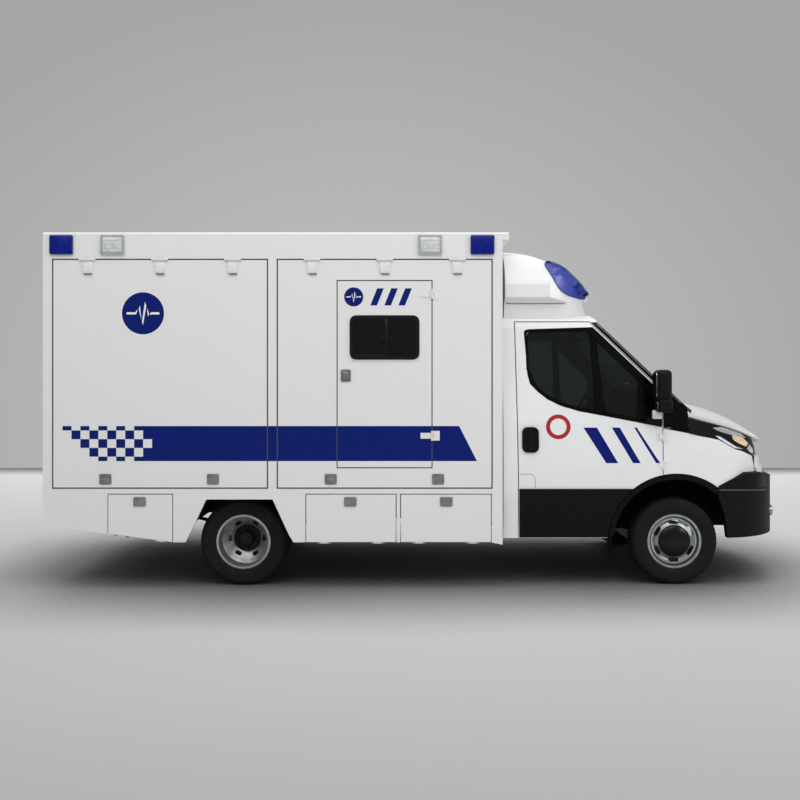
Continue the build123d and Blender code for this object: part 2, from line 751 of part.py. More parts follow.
def make_cab_door_trim():
    """The black lower cladding and the oval pull handle, as separate solids."""
    cladding = side_skin(-14.0, -0.3, cab_x(-1300.0), cab_x(0.0))
    cladding &= side_prism(cab_line([(-1247.0, 384.0), (-200.0, 384.0), (-200.0, 771.0), (-1250.0, 771.0)]),
                           -1100.0, -700.0)
    cladding -= arch_cut(arch_radius + 2.0, -1100.0, -700.0)
    place = Plane(origin=(cab_x(-1162.0), -1100.0, 1161.0), x_dir=(1, 0, 0), z_dir=(0, 1, 0))
    handle = side_skin(-16.0, -0.3, cab_x(-1250.0), cab_x(-1050.0))
    handle &= extrude(place * RectangleRounded(132.0, 202.0, 44.0), amount=300.0)
    return [cladding, handle]


def make_mirror():
    """The door mirror: a foot on the door's front corner, an arm, and a rounded head over a smaller wide-angle one."""
    foot = side_skin(-24.0, -0.3, cab_x(-262.0), cab_x(-118.0))
    foot &= side_prism(cab_line([(-262.0, 1300.0), (-118.0, 1275.0), (-118.0, 1440.0)]), -1100.0, -700.0)
    arm = rod((cab_x(-165.0), -1006.0, 1345.0), (cab_x(-150.0), -1110.0, 1440.0), 22.0)
    head = block(cab_x(-212.0), cab_x(-92.0), -1215.0, -1062.0, 1478.0, 1717.0)
    head = fillet(head.edges(), 38.0)
    low = block(cab_x(-200.0), cab_x(-84.0), -1200.0, -1070.0, 1385.0, 1500.0)
    low = fillet(low.edges(), 28.0)
    return foot + arm + head + low


# The windscreen's line, seen from the side: (x from the front axle, z)
SCREEN_TOP = (-603.0, 2110.0)
SCREEN_FOOT = (59.0, 1455.0)


def screen_plate(depth0, depth1):
    """A slice through the windscreen's plane, between two depths below its outer face."""
    run_x, run_z = SCREEN_FOOT[0] - SCREEN_TOP[0], SCREEN_FOOT[1] - SCREEN_TOP[1]
    length = math.hypot(run_x, run_z)
    down = (run_z / length, -run_x / length)
    ends = [SCREEN_TOP, SCREEN_FOOT]
    near = [(x + down[0] * depth0, z + down[1] * depth0) for x, z in ends]
    far = [(x + down[0] * depth1, z + down[1] * depth1) for x, z in reversed(ends)]
    return side_prism(cab_line(near + far), -900.0, 900.0)


def screen_outline(shrink):
    """The windscreen's opening, seen from the front."""
    return [(-850.0 + shrink, 1505.0 + shrink), (850.0 - shrink, 1505.0 + shrink),
            (735.0 - shrink, 2060.0 - shrink), (-735.0 + shrink, 2060.0 - shrink)]


def cab_envelope(depth):
    """The cab's closed outer form, drawn in by depth on every face."""
    right = [(-(CAB_HALF[1][1] - depth), cab_floor_low + depth)]
    right += [(-(half - depth), z) for z, half in CAB_HALF[1:]]
    right += [(-(half - depth), z - depth) for z, half in CAB_ROOF]
    left = [(-y, z) for y, z in reversed(right)]
    body = cross_prism(right + left, cab_back + depth, cab_x(97.0) - depth)
    top = cab_roof_top - depth
    low = cab_floor_low + depth
    front = [
        (-1376.0 + depth, low), (-1376.0 + depth, top), (-665.0 - depth, top),
        (SCREEN_TOP[0] - depth, SCREEN_TOP[1] - depth), (SCREEN_FOOT[0] - depth, SCREEN_FOOT[1] - depth),
        (97.0 - depth, 1418.0 - depth), (97.0 - depth, 1262.0 + depth), (-43.0 - depth, 1262.0 + depth),
        (-43.0 - depth, low),
    ]
    return body & side_prism(cab_line(front), -1100.0, 1100.0)


def make_cab_shell():
    """The cab's hollow shell with its door, windscreen and wheel-arch cuts, sills and rear quarters."""
    shell = cab_envelope(0.0) - cab_envelope(cab_wall)
    shell += block(cab_back, cab_x(-43.0), -900.0, 900.0, cab_floor_low, cab_floor_top)
    quarter = side_skin(0.0, cab_wall, cab_back, cab_x(-1240.0))
    sill = block(cab_back, cab_x(-560.0), -930.0, -870.0, 420.0, cab_floor_low + 10.0)
    shell += both_sides(quarter + sill)
    opening = side_prism(cab_line(DOOR_OPENING), -1100.0, -700.0)
    shell -= both_sides(opening & side_skin(-20.0, cab_wall + door_gap, cab_x(-1400.0), cab_x(0.0)))
    shell -= cross_prism(screen_outline(0.0), cab_x(-700.0), cab_x(200.0))
    shell -= both_sides(arch_cut(arch_radius, -1100.0, -545.0))
    shell -= both_sides(block(cab_x(-104.0), cab_x(-40.0), -1100.0, -960.0, 600.0, 1254.0))
    jamb = block(cab_x(-102.0), cab_x(-43.0), -940.0, -900.0, 900.0, 1300.0)
    jamb -= arch_cut(arch_radius, -1100.0, -545.0)
    shell += both_sides(jamb)
    shell -= cowl_form()
    for y in (-405.0, 405.0):
        shell += block(cab_x(-1200.0), cab_x(-1050.0), y - 30, y + 30, rail_top, cab_floor_low)
        shell += block(cab_x(-700.0), cab_x(-560.0), y - 30, y + 30, rail_top, cab_floor_low)
    return shell


def make_windscreen():
    glass = screen_plate(8.0, 14.0)
    return glass & cross_prism(screen_outline(seat_gap), cab_x(-750.0), cab_x(200.0))


def nose_plan(inset, z0, z1):
    """The nose's plan above the bumper, drawn in by inset, from z0 up to z1."""
    pts = [(-110.0, 1003.0 - inset), (197.0, 1003.0 - inset), (340.0, 992.0 - inset)]
    flank = (632.0 - 0.6 * inset, 880.0 - 0.8 * inset)
    corner = (805.0 - 0.8 * inset, 620.0 - 0.5 * inset)
    tip = (900.0 - inset, 0.0)
    return plan_shape(pts, flank, corner, tip, z0, z1)


def bumper_plan(inset, z0, z1):
    """The bumper's plan, drawn in by inset, from z0 up to z1."""
    pts = [(-110.0, 1006.0 - inset), (332.0, 1006.0 - inset), (500.0, 988.0 - inset)]
    flank = (765.0 - 0.6 * inset, 850.0 - 0.8 * inset)
    corner = (907.0 - inset, 560.0 - 0.5 * inset)
    tip = (front_overhang - inset, 0.0)
    return plan_shape(pts, flank, corner, tip, z0, z1)


def plan_shape(pts, flank, corner, tip, z0, z1):
    """A symmetric plan made of straight flanks, two corner arcs and one nose arc."""
    def at(p, side=-1):
        return (cab_x(p[0]), side * p[1], z0)

    edges = [Line(at(pts[0]), at(pts[1])), Line(at(pts[1]), at(pts[2])),
             ThreePointArc(at(pts[2]), at(flank), at(corner)),
             ThreePointArc(at(corner), (cab_x(tip[0]), 0, z0), at(corner, 1)),
             ThreePointArc(at(corner, 1), at(flank, 1), at(pts[2], 1)),
             Line(at(pts[2], 1), at(pts[1], 1)), Line(at(pts[1], 1), at(pts[0], 1)),
             Line(at(pts[0], 1), at(pts[0]))]
    return extrude(make_face(edges), amount=z1 - z0, dir=(0, 0, 1))


# The wing's upper edge, which the headlamp sits on: (x from the front axle, z)
WING_TOP = [(100.0, 1212.0), (170.0, 1195.0), (337.0, 1160.0), (475.0, 1085.0), (551.0, 1064.0), (654.0, 1020.0)]


def make_wing():
    """The right front wing: a skin that follows the nose's plan, cut by the round wheel arch."""
    outline = [(-102.0, 800.0), (-102.0, 1250.0), *WING_TOP, (690.0, 894.0), (559.0, 899.0), (334.0, 792.0),
               (334.0, 700.0)]
    skin = nose_plan(0.0, 600.0, 1300.0) - nose_plan(wing_skin, 590.0, 1310.0)
    skin &= side_prism(cab_line(outline), -1100.0, -600.0)
    skin -= arch_cut(arch_radius, -1100.0, -500.0)
    skin &= side_skin(0.0, 400.0, cab_x(-200.0), cab_x(800.0))
    shelf = nose_plan(wing_skin - 2.0, 1100.0, 1130.0) & block(
        cab_x(-43.0), cab_x(300.0), -1000.0, -880.0, 1100.0, 1130.0)
    skin += shelf
    for z in cab_hinge_z:
        fixed, _ = cab_hinge(z)
        skin += fixed
    return skin


# The bonnet's sections: (x from the front axle, half width, lower edge z, crown z)
BONNET = [(112.0, 940.0, 1343.0, 1460.0), (400.0, 930.0, 1268.0, 1415.0), (640.0, 860.0, 1186.0, 1318.0),
          (800.0, 720.0, 1108.0, 1208.0), (905.0, 560.0, 1035.0, 1120.0)]


def make_bonnet():
    """The bonnet: one crowned panel lofted through five sections and trimmed to the nose's plan."""
    sections = []
    for x, half, edge, crown in BONNET:
        def at(y, z, x=x):
            return (cab_x(x), y, z)
        top = ThreePointArc(at(-half, edge + bonnet_edge), at(0, crown), at(half, edge + bonnet_edge))
        low = ThreePointArc(at(half, edge), at(0, crown - bonnet_skin), at(-half, edge))
        sections.append(make_face([top, Line(top @ 1, low @ 0), low, Line(low @ 1, top @ 0)]))
    panel = loft(sections)
    panel &= nose_plan(2.0, 900.0, 1600.0)
    for y in bonnet_hinge_y:
        _, moving = bonnet_hinge(y)
        panel += moving
    return panel


def bonnet_hinge(y):
    """Both halves of a bonnet hinge, on the line between the bonnet and the cowl."""
    x, z = bonnet_hinge_x, bonnet_hinge_z
    fixed = rod((x, y - 46, z), (x, y + 46, z), 4.0)
    for side in (-1, 1):
        y0, y1 = y + side * 26.0, y + side * 46.0
        low, high = min(y0, y1), max(y0, y1)
        fixed += rod((x, low, z), (x, high, z), bonnet_hinge_radius)
        fixed += block(x - 40, x, low, high, z - 22, z + 2)
    moving = rod((x, y - 25, z), (x, y + 25, z), bonnet_hinge_radius)
    moving += block(x, x + 44, y - 25, y + 25, z - 22, z - 2)
    moving -= rod((x, y - 27, z), (x, y + 27, z), 4.0 + hinge_running_gap)
    return fixed, moving


def cowl_form():
    return side_prism(cab_line([(50.0, 1380.0), (97.0, 1380.0), (97.0, 1421.0), (62.0, 1456.0), (50.0, 1456.0)]),
                      -700.0, 700.0)


def make_cowl():
    """The black cowl under the windscreen's foot, with the fixed halves of the bonnet's hinges."""
    cowl = cowl_form()
    for y in bonnet_hinge_y:
        fixed, _ = bonnet_hinge(y)
        cowl += fixed
    return cowl


def make_headlamp():
    """The right headlamp: a long tapered block that wraps round the nose's corner."""
    outline = [*((x, z + seat_gap) for x, z in WING_TOP), (700.0, 1030.0),
               (690.0, 1090.0), (640.0, 1174.0), (551.0, 1206.0), (400.0, 1258.0), (200.0, 1310.0),
               (112.0, 1330.0), (100.0, 1330.0)]
    lamp = nose_plan(3.0, 900.0, 1400.0) & side_prism(cab_line(outline), -1100.0, -655.0)
    return lamp


def make_nose_panel():
    """The nose panel between the headlamps, with the upper grille's slots cut through."""
    panel = nose_plan(-24.0, 800.0, 925.0) + nose_plan(6.0, 925.0, 1018.0) - nose_plan(56.0, 700.0, 1100.0)
    seam = [(x, z + nose_seam) for x, z in BUMPER_TOP[2:]]
    panel &= side_prism(cab_line([(695.0, seam[0][1]), *seam[1:], (1010.0, 1100.0), (695.0, 1100.0)]), -900.0, 900.0)
    for number in range(3):
        z = 936.0 + number * 26.0
        panel -= block(cab_x(700.0), cab_x(1000.0), -470.0, 470.0, z, z + 15.0)
    carrier = block(cab_x(690.0), cab_x(800.0), -380.0 + seat_gap, 380.0 - seat_gap, rail_bottom + 30.0, 560.0)
    carrier += block(cab_x(760.0), cab_x(800.0), -60.0, 60.0, 540.0, 960.0)
    carrier += block(cab_x(760.0), cab_x(870.0), -60.0, 60.0, 900.0, 928.0)
    return panel + carrier


# The bumper's upper edge, which falls away towards the middle of the nose: (x from the front axle, z)
BUMPER_TOP = [(340.0, 786.0), (559.0, 893.0), (690.0, 888.0), (870.0, 852.0), (1010.0, 838.0)]


def make_bumper():
    """The wrap-round bumper with its lower grille, fog-lamp pockets and tow-eye socket."""
    outline = [*BUMPER_TOP, (1010.0, 440.0), (930.0, 392.0), (408.0, 380.0),
               (382.0, 574.0), (331.0, 713.0)]
    skin = bumper_plan(0.0, 300.0, 1000.0) - bumper_plan(bumper_skin, 290.0, 1010.0)
    skin &= side_prism(cab_line(outline), -1100.0, 1100.0)
    for number in range(4):
        z = 600.0 + number * 60.0
        skin -= block(cab_x(900.0), cab_x(1100.0), -430.0, 430.0, z, z + 36.0)
    for y in (-690.0, 690.0):
        skin -= rod((cab_x(800.0), y, 560.0), (cab_x(1010.0), y, 560.0), 48.0)
    beam = block(cab_x(690.0), cab_x(front_overhang - bumper_skin + 4.0), -440.0, -380.0, rail_bottom, 560.0)
    skin += both_sides(beam)
    skin -= rod((cab_x(front_overhang - 120.0), tow_eye_y, 530.0), (cab_x(front_overhang + 5.0), tow_eye_y, 530.0),
                tow_eye_radius)
    return skin


def make_liners():
    """Front arch liners with lips and mud flaps, and the trays over the rear wheels."""
    ring = arch_cut(liner_radius + liner_thickness, -965.0, -560.0) - arch_cut(liner_radius, -970.0, -500.0)
    lip = arch_cut(arch_radius - 5.0, -1003.0, -965.0) - arch_cut(liner_radius, -1010.0, -900.0)
    wall_disc = arch_cut(liner_radius + 2.0, -562.0, -557.0)
    wall_disc -= block(cab_x(-185.0), cab_x(185.0), -600.0, -500.0, 0.0, 520.0)
    keep = plan_keep()
    front = (ring + lip + wall_disc) & keep
    tab_y = -1003.0 + wing_skin + seat_gap
    front += block(cab_x(40.0), cab_x(80.0), tab_y, tab_y + 25.0, wheel_z + liner_radius - 5.0, 930.0)
    front += plan_prism(mud_flap_plan(-985.0, -800.0), 165.0, 372.0)
    front += plan_prism(mud_flap_plan(-930.0, -800.0), 372.0, 470.0)
    front += block(cab_x(-530.0), cab_x(-494.0), -925.0, -805.0, 440.0, 450.0)
    x0, x1, x2, x3 = arch_x[1], arch_x[2], arch_x[3], arch_x[4]
    z1, z3 = arch_z[1], arch_z[4]
    top = arch_z[2]
    outer = [(x0 - 8, z1), (x1 - 6, top + 6), (x2 + 6, top + 6), (x3 + 8, z3)]
    inner = [(x3 + 2, z3), (x2 + 1, top + 1), (x1 - 1, top + 1), (x0 - 2, z1)]
    rear = side_prism(outer + inner, -box_side_y + skirt_thickness + seat_gap, -560.0)
    return both_sides(front + rear)


def mud_flap_plan(y_outer, y_inner):
    """The front mud flap's plan between two sides: it is swept back towards its outer edge."""
    def x_at(y):
        return cab_x(-470.0) + (y + 800.0) / 185.0 * 80.0
    return [(x_at(y_outer), y_outer), (x_at(y_outer) + 8.0, y_outer), (x_at(y_inner) + 8.0, y_inner),
            (x_at(y_inner), y_inner)]


def plan_keep():
    """The part of the front liner's ring that shows: over the wheel and down behind it."""
    x, z = front_axle_x, wheel_z
    return side_prism([(x - 700, z + 60), (x - 700, z + 700), (x + 324, z + 700), (x + 324, z + 372),
                       (x, z + 20)], -1100.0, -500.0)


# Roof fairing


def make_fairing():
    """The hollow wind fairing on the cab roof, its underside drawn in to the roof."""
    shell = fairing_form(0.0) - fairing_form(fairing_skin)
    shell -= block(cab_x(-1400.0), cab_x(-1376.0 + 19.0 + fairing_skin), -820.0, 820.0, cab_roof_top, 2600.0)
    shell -= cab_envelope(-0.5)
    shell -= both_sides(side_skin(-3.0, 60.0, cab_back - 10, cab_x(0.0)))
    return shell


def fairing_form(depth):
    """The fairing's outer form, drawn in by depth: a curved top over a lip, with the sides tucked in below it."""
    def beside(x, z):
        return (cab_x(x), -960.0, z)

    def across(y, z):
        return (cab_x(-1357.0 + depth), y, z)

    top = [(-1357.0 + depth, 2690.0 - depth), (-1247.0, 2682.0 - depth), (-1133.0, 2650.0 - depth),
           (-1000.0, 2587.0 - depth), (-864.0, 2499.0 - depth), (-741.0 - depth, 2394.0 - depth),
           (-628.0 - depth, 2306.0 - depth)]
    low = [(-700.0 - depth, 2262.0 - depth), (-640.0 - depth, 2118.0 - depth), (-1357.0 + depth, 2118.0 - depth)]
    profile = [Spline(*(beside(*p) for p in top))]
    ends = [top[-1], *low, top[0]]
    profile += [Line(beside(*a), beside(*b)) for a, b in zip(ends, ends[1:])]
    form = extrude(make_face(profile), amount=1920.0, dir=(0, 1, 0))
    foot, tuck, lip = 850.0 - depth, 868.0 - depth, 955.0 - depth
    crown = 640.0 - depth
    section = []
    for side in (-1, 1):
        section += [Line(across(side * foot, 2118.0 - depth), across(side * tuck, 2262.0 - depth)),
                    Line(across(side * tuck, 2262.0 - depth), across(side * lip, 2302.0 - depth)),
                    ThreePointArc(across(side * lip, 2302.0 - depth),
                                  across(side * (893.0 - depth), 2560.0 - 0.5 * depth),
                                  across(side * crown, 2700.0 - depth))]
    section += [Line(across(-crown, 2700.0 - depth), across(crown, 2700.0 - depth)),
                Line(across(-foot, 2118.0 - depth), across(foot, 2118.0 - depth))]
    form &= extrude(make_face(section), amount=900.0, dir=(1, 0, 0))

    def at(x, y):
        return (cab_x(x), y, 2000.0)

    half = 956.0 - depth
    plan = [Line(at(-1357.0 + depth, -half), at(-1000.0, -half)),
            ThreePointArc(at(-1000.0, -half), at(-700.0 - depth, -740.0 + depth), at(-590.0 - depth, 0)),
            ThreePointArc(at(-590.0 - depth, 0), at(-700.0 - depth, 740.0 - depth), at(-1000.0, half)),
            Line(at(-1000.0, half), at(-1357.0 + depth, half)),
            Line(at(-1357.0 + depth, half), at(-1357.0 + depth, -half))]
    return form & extrude(make_face(plan), amount=900.0, dir=(0, 0, 1))


# Inside the cab


def make_dashboard():
    """The dashboard across the cab, with the steering column and wheel on the left."""
    x_back = -330.0
    front = -43.0 - cab_wall - seat_gap
    dash = side_prism(cab_line([(x_back, 1080.0), (x_back + 30, 1290.0), (x_back + 130, 1370.0), (front, 1390.0),
                                (front, 1060.0), (-200.0, 1000.0)]), -880.0, 880.0)
    centre = Vector(cab_x(-470.0), wheel_side_y, 1350.0)
    tilt = math.radians(62.0)
    axis = Vector(-math.cos(tilt - 0.6), 0, math.sin(tilt - 0.6))
    foot = centre - axis * 260.0
    dash += rod(tuple(foot), tuple(centre), 28.0)
    place = Plane(origin=centre, z_dir=axis)
    dash += place * Torus(190.0, 15.0)
    dash += place * Cylinder(60.0, 40.0)
    for turn in (0.0, 120.0, 240.0):
        dash += place * Rot(0, 0, turn) * block(40.0, 190.0, -14.0, 14.0, -7.0, 7.0)
    return dash


def make_seat_frames():
    frames = None
    for y in seat_ys:
        frame = block(cab_x(-1110.0), cab_x(-680.0), y - seat_half + 40, y + seat_half - 40, cab_floor_top, 1040.0)
        frames = frame if frames is None else frames + frame
    return frames


def make_seat_cushions():
    """Each seat's cushion, backrest and head restraint, as separate soft solids."""
    pads = []
    for y in seat_ys:
        base = [(-1150.0, 1040.3), (-610.0, 1040.3), (-590.0, 1120.0), (-640.0, 1180.0), (-1090.0, 1160.0),
                (-1160.0, 1140.0)]
        pads.append(side_prism(cab_line(base), y - seat_half, y + seat_half))
        back = [(-1162.0, 1161.0), (-1050.0, 1162.1), (-1130.0, 1500.0), (-1180.0, 1780.0), (-1280.0, 1780.0),
                (-1250.0, 1450.0)]
        pads.append(side_prism(cab_line(back), y - seat_half + 10, y + seat_half - 10))
        head = [(-1270.0, 1780.3), (-1190.0, 1780.3), (-1185.0, 1960.0), (-1270.0, 1970.0)]
        pads.append(side_prism(cab_line(head), y - 130.0, y + 130.0))
    return pads


# Tanks, exhaust and lamps


def make_fuel_tank():
    tank = plan_prism([(-420.0, 470.0), (380.0, 470.0), (380.0, 800.0), (-420.0, 800.0)], 400.0, 640.0)
    tank = fillet(tank.edges().filter_by(Axis.X), 30.0)
    for x in (-300.0, 260.0):
        tank += block(x, x + 40.0, 440.3, 480.0, 520.0, 630.0)
    return tank


def make_exhaust():
    silencer = rod((front_axle_x - 1500.0, -230.0, 440.0), (front_axle_x - 950.0, -230.0, 440.0), 90.0)
    pipe = rod((front_axle_x - 960.0, -230.0, 440.0), (front_axle_x - 640.0, -230.0, 440.0), 30.0)
    tail = rod((front_axle_x - 1800.0, -230.0, 440.0), (front_axle_x - 1490.0, -230.0, 440.0), 30.0)
    system = silencer + pipe + tail
    for number in (4, 5):
        x = crossmember_x(number) + 30.0
        system += block(x, x + 20.0, -238.0, -222.0, 450.0, cross_bottom - seat_gap)
    return system


# Lamps high on the box's sides: their lower and upper edges, and where each starts and ends along the box
lamp_z = (overall_height - 177.0, overall_height - 69.0)
BLUE_SPANS = ((box_back + 56.0, box_back + 236.0), (box_front - 252.0, box_front - 66.0))
CLEAR_SPANS = ((box_back + 456.0, box_back + 641.0), (box_front - 664.0, box_front - 477.0))
lamp_proud = 26.0


def make_side_lamps(spans, z0=lamp_z[0], z1=lamp_z[1]):
    lamps = None
    for x0, x1 in spans:
        face_y = -box_side_y - 0.3
        points = [(face_y, z0), (face_y - lamp_proud, z0 + 8), (face_y - lamp_proud, z1 - 8), (face_y, z1)]
        lamp = both_sides(cross_prism(points, x0, x1))
        lamps = lamp if lamps is None else lamps + lamp
    return lamps


def make_rear_lamps():
    x = box_back + 36.0 - 0.3
    lamps = None
    for y in (-860.0, -700.0):
        lamp = both_sides(block(x - 28.0, x, y - 70, y + 70, 516.0, 586.0))
        lamps = lamp if lamps is None else lamps + lamp
    return lamps


# Everything by its node's name


def left(shape):
    if isinstance(shape, list):
        return [mirrored(piece) for piece in shape]
    return mirrored(shape)


def at_wheel(shape, x, y):
    """A wheel piece, placed with +Y outboard on the left and mirrored on the right."""
    placed = Pos(x, abs(y), wheel_z) * shape
    return placed if y > 0 else mirrored(placed)


def main():
    nodes = {
        "chassis_frame": make_chassis(),
        "engine_and_gearbox": make_powertrain(),
        "rear_axle": make_rear_axle(),
        "front_suspension": make_front_suspension(),
        "fuel_tank": make_fuel_tank(),
        "exhaust": make_exhaust(),
        "box_floor": make_box_floor(),
        "box_roof": make_box_roof(),
        "box_front_wall": make_box_front_wall(),
        "box_side_right": make_side(True),
        "box_side_left": left(make_side(False)),
        "box_rear_frame": make_rear_frame(),
        "cab_shell": make_cab_shell(),
        "cowl": make_cowl(),
        "windscreen": make_windscreen(),
        "front_wings": both_sides(make_wing()),
        "front_bumper": make_bumper(),
        "nose_panel": make_nose_panel(),
        "headlamps": both_sides(make_headlamp()),
        "arch_liners": make_liners(),
        "roof_fairing": make_fairing(),
        "dashboard": make_dashboard(),
        "seat_frames": make_seat_frames(),
        "seat_cushions": make_seat_cushions(),
        "bonnet": make_bonnet(),
        "blue_lamps": make_side_lamps(BLUE_SPANS),
        "flood_lamps": make_side_lamps(CLEAR_SPANS),
        "rear_lamps": make_rear_lamps(),
        "locker_bins": [make_locker_bin(name) for name in LOCKERS],
        "flap_front_right": make_flap(front_flap_x, True),
        "flap_rear_right": make_flap(rear_flap_x, False),
        "flap_front_left": left(make_flap(front_flap_x, False)),
        "flap_rear_left": left(make_flap(rear_flap_x, False)),
        "side_door": make_side_door(),
        "side_door_window": window_prism(0.0, -box_side_y + 4.0, -box_side_y + 4.0 + window_thickness),
    }
    for name in LOCKERS:
        nodes[name] = make_locker_door(name)
    rear_door, rear_glass = make_rear_door(), rear_window(
        window_clearance, box_back + rear_recess + 6.0, box_back + rear_recess + 12.0)
    cab_door, glass, trim = make_cab_door(), make_cab_door_glass(), make_cab_door_trim()
    mirror_unit = make_mirror()
    knuckle = make_knuckle()
    front_rim, rear_rim, tyre = make_front_rim(), make_rear_rim(), make_tyre()
    hub_y = (rear_inner_y + rear_outer_y) / 2
    twin = (rear_outer_y - rear_inner_y) / 2
    twin_tyres = Pos(0, -twin, 0) * tyre + Pos(0, twin, 0) * tyre
    for side, y in (("right", -1), ("left", 1)):
        def on_side(shape, y=y):
            return shape if y < 0 else left(shape)
        nodes[f"rear_door_{side}"] = on_side(rear_door)
        nodes[f"rear_door_glass_{side}"] = on_side(rear_glass)
        nodes[f"cab_door_{side}"] = on_side(cab_door)
        nodes[f"cab_door_glass_{side}"] = on_side(glass)
        nodes[f"cab_door_trim_{side}"] = on_side(trim)
        nodes[f"mirror_{side}"] = on_side(mirror_unit)
        nodes[f"knuckle_{side}"] = on_side(knuckle)
        nodes[f"front_rim_{side}"] = at_wheel(front_rim, front_axle_x, y * front_wheel_y)
        nodes[f"front_tyre_{side}"] = at_wheel(tyre, front_axle_x, y * front_wheel_y)
        nodes[f"rear_rims_{side}"] = at_wheel(rear_rim, rear_axle_x, y * hub_y)
        nodes[f"rear_tyres_{side}"] = at_wheel(twin_tyres, rear_axle_x, y * hub_y)
    os.makedirs("parts", exist_ok=True)
    for name, shape in nodes.items():
        solids = []
        for piece in shape if isinstance(shape, list) else [shape]:
            solids.extend(piece.solids())
        body = solids[0] if len(solids) == 1 else Compound(children=solids)
        export_step(body, f"parts/{name}.step")


main()
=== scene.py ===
import json
import math

import bmesh
import bpy
from mathutils import Matrix, Vector
from mathutils.bvhtree import BVHTree

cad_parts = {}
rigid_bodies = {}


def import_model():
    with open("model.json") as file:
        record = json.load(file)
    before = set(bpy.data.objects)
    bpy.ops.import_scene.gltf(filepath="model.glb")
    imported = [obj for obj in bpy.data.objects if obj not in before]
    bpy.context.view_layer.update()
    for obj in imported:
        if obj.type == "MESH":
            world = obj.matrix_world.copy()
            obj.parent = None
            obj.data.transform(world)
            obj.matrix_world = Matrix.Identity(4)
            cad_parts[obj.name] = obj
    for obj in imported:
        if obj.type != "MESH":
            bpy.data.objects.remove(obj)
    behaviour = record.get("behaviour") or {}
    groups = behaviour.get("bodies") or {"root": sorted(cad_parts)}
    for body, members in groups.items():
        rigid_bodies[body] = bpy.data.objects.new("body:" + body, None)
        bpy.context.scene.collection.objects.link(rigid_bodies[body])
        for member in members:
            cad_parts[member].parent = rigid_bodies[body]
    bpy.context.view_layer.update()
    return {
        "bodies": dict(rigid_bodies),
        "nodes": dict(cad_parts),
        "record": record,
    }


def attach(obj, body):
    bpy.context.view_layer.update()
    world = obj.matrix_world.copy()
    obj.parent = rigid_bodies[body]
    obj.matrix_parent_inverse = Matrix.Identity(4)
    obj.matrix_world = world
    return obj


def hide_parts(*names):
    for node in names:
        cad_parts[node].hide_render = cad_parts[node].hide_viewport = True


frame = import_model()
nodes = frame["nodes"]

# Places on the vehicle, in metres; the wheels' Y places are those of their middle planes
REAR_AXLE_X = -1.447
FRONT_AXLE_X = 2.003
WHEEL_Z = 0.345
FRONT_WHEEL_Y = 0.862
REAR_HUB_Y = 0.770
REAR_TYRE_Y = (0.650, 0.890)
SIDE_FACE = -1.1


# Materials


def linear(colour, alpha=1.0):
    """An sRGB hex colour as linear numbers."""
    values = [int(colour[i:i + 2], 16) / 255 for i in (1, 3, 5)]
    return tuple(v / 12.92 if v <= 0.04045 else ((v + 0.055) / 1.055) ** 2.4 for v in values) + (alpha,)


def add(tree, kind, sockets=None, **settings):
    """One node with its settings, its values and its links."""
    node = tree.nodes.new(kind)
    for key, value in settings.items():
        setattr(node, key, value)
    for key, value in (sockets or {}).items():
        if isinstance(value, bpy.types.NodeSocket):
            tree.links.new(value, node.inputs[key])
        else:
            node.inputs[key].default_value = value
    return node


def start_material(name):
    """An empty material with its output, its shader and its object coordinates."""
    material = bpy.data.materials.new(name)
    material.use_nodes = True
    tree = material.node_tree
    tree.nodes.clear()
    shader = add(tree, "ShaderNodeBsdfPrincipled")
    add(tree, "ShaderNodeOutputMaterial", {"Surface": shader.outputs["BSDF"]})
    place = add(tree, "ShaderNodeTexCoord").outputs["Object"]
    return material, tree, shader, place


def finish_shader(shader, **values):
    """Sets the shader's own values, such as base_color or roughness."""
    for key, value in values.items():
        shader.inputs[key.replace("_", " ").title().replace("Ior", "IOR")].default_value = value


def mottled(tree, place, low, high, scale, detail=3.0, spread=(0.35, 0.65)):
    """Two near colours mixed by a soft noise, for dust and uneven ageing."""
    noise = add(tree, "ShaderNodeTexNoise", {"Vector": place, "Scale": scale, "Detail": detail})
    share = add(tree, "ShaderNodeMapRange", {
        "Value": noise.outputs["Fac"], "From Min": spread[0], "From Max": spread[1]})
    return colour_mix(tree, share.outputs["Result"], linear(low), linear(high))


def colour_mix(tree, share, low, high):
    """Two colours mixed by a share; each may be a value or another node's output."""
    node = tree.nodes.new("ShaderNodeMix")
    node.data_type = "RGBA"
    for socket, value in (("Factor_Float", share), ("A_Color", low), ("B_Color", high)):
        target = next(s for s in node.inputs if s.identifier == socket)
        if isinstance(value, bpy.types.NodeSocket):
            tree.links.new(value, target)
        else:
            target.default_value = value
    return next(s for s in node.outputs if s.identifier == "Result_Color")


def bump(tree, shader, place, scale, distance, detail=2.0, kind="ShaderNodeTexNoise", output=0):
    """A small relief from one texture, its distance in metres."""
    texture = add(tree, kind, {"Vector": place, "Scale": scale})
    if "Detail" in texture.inputs:
        texture.inputs["Detail"].default_value = detail
    relief = add(tree, "ShaderNodeBump", {
        "Height": texture.outputs[output], "Strength": 1.0, "Distance": distance})
    tree.links.new(relief.outputs["Normal"], shader.inputs["Normal"])


# Painted shade: the enamel is painted darkest below the first height and has none above the second
LOWER_SHADE_Z = (0.45, 1.35)
# The waves in a sprayed panel are about 0.4 m long
PANEL_WAVE = 0.4


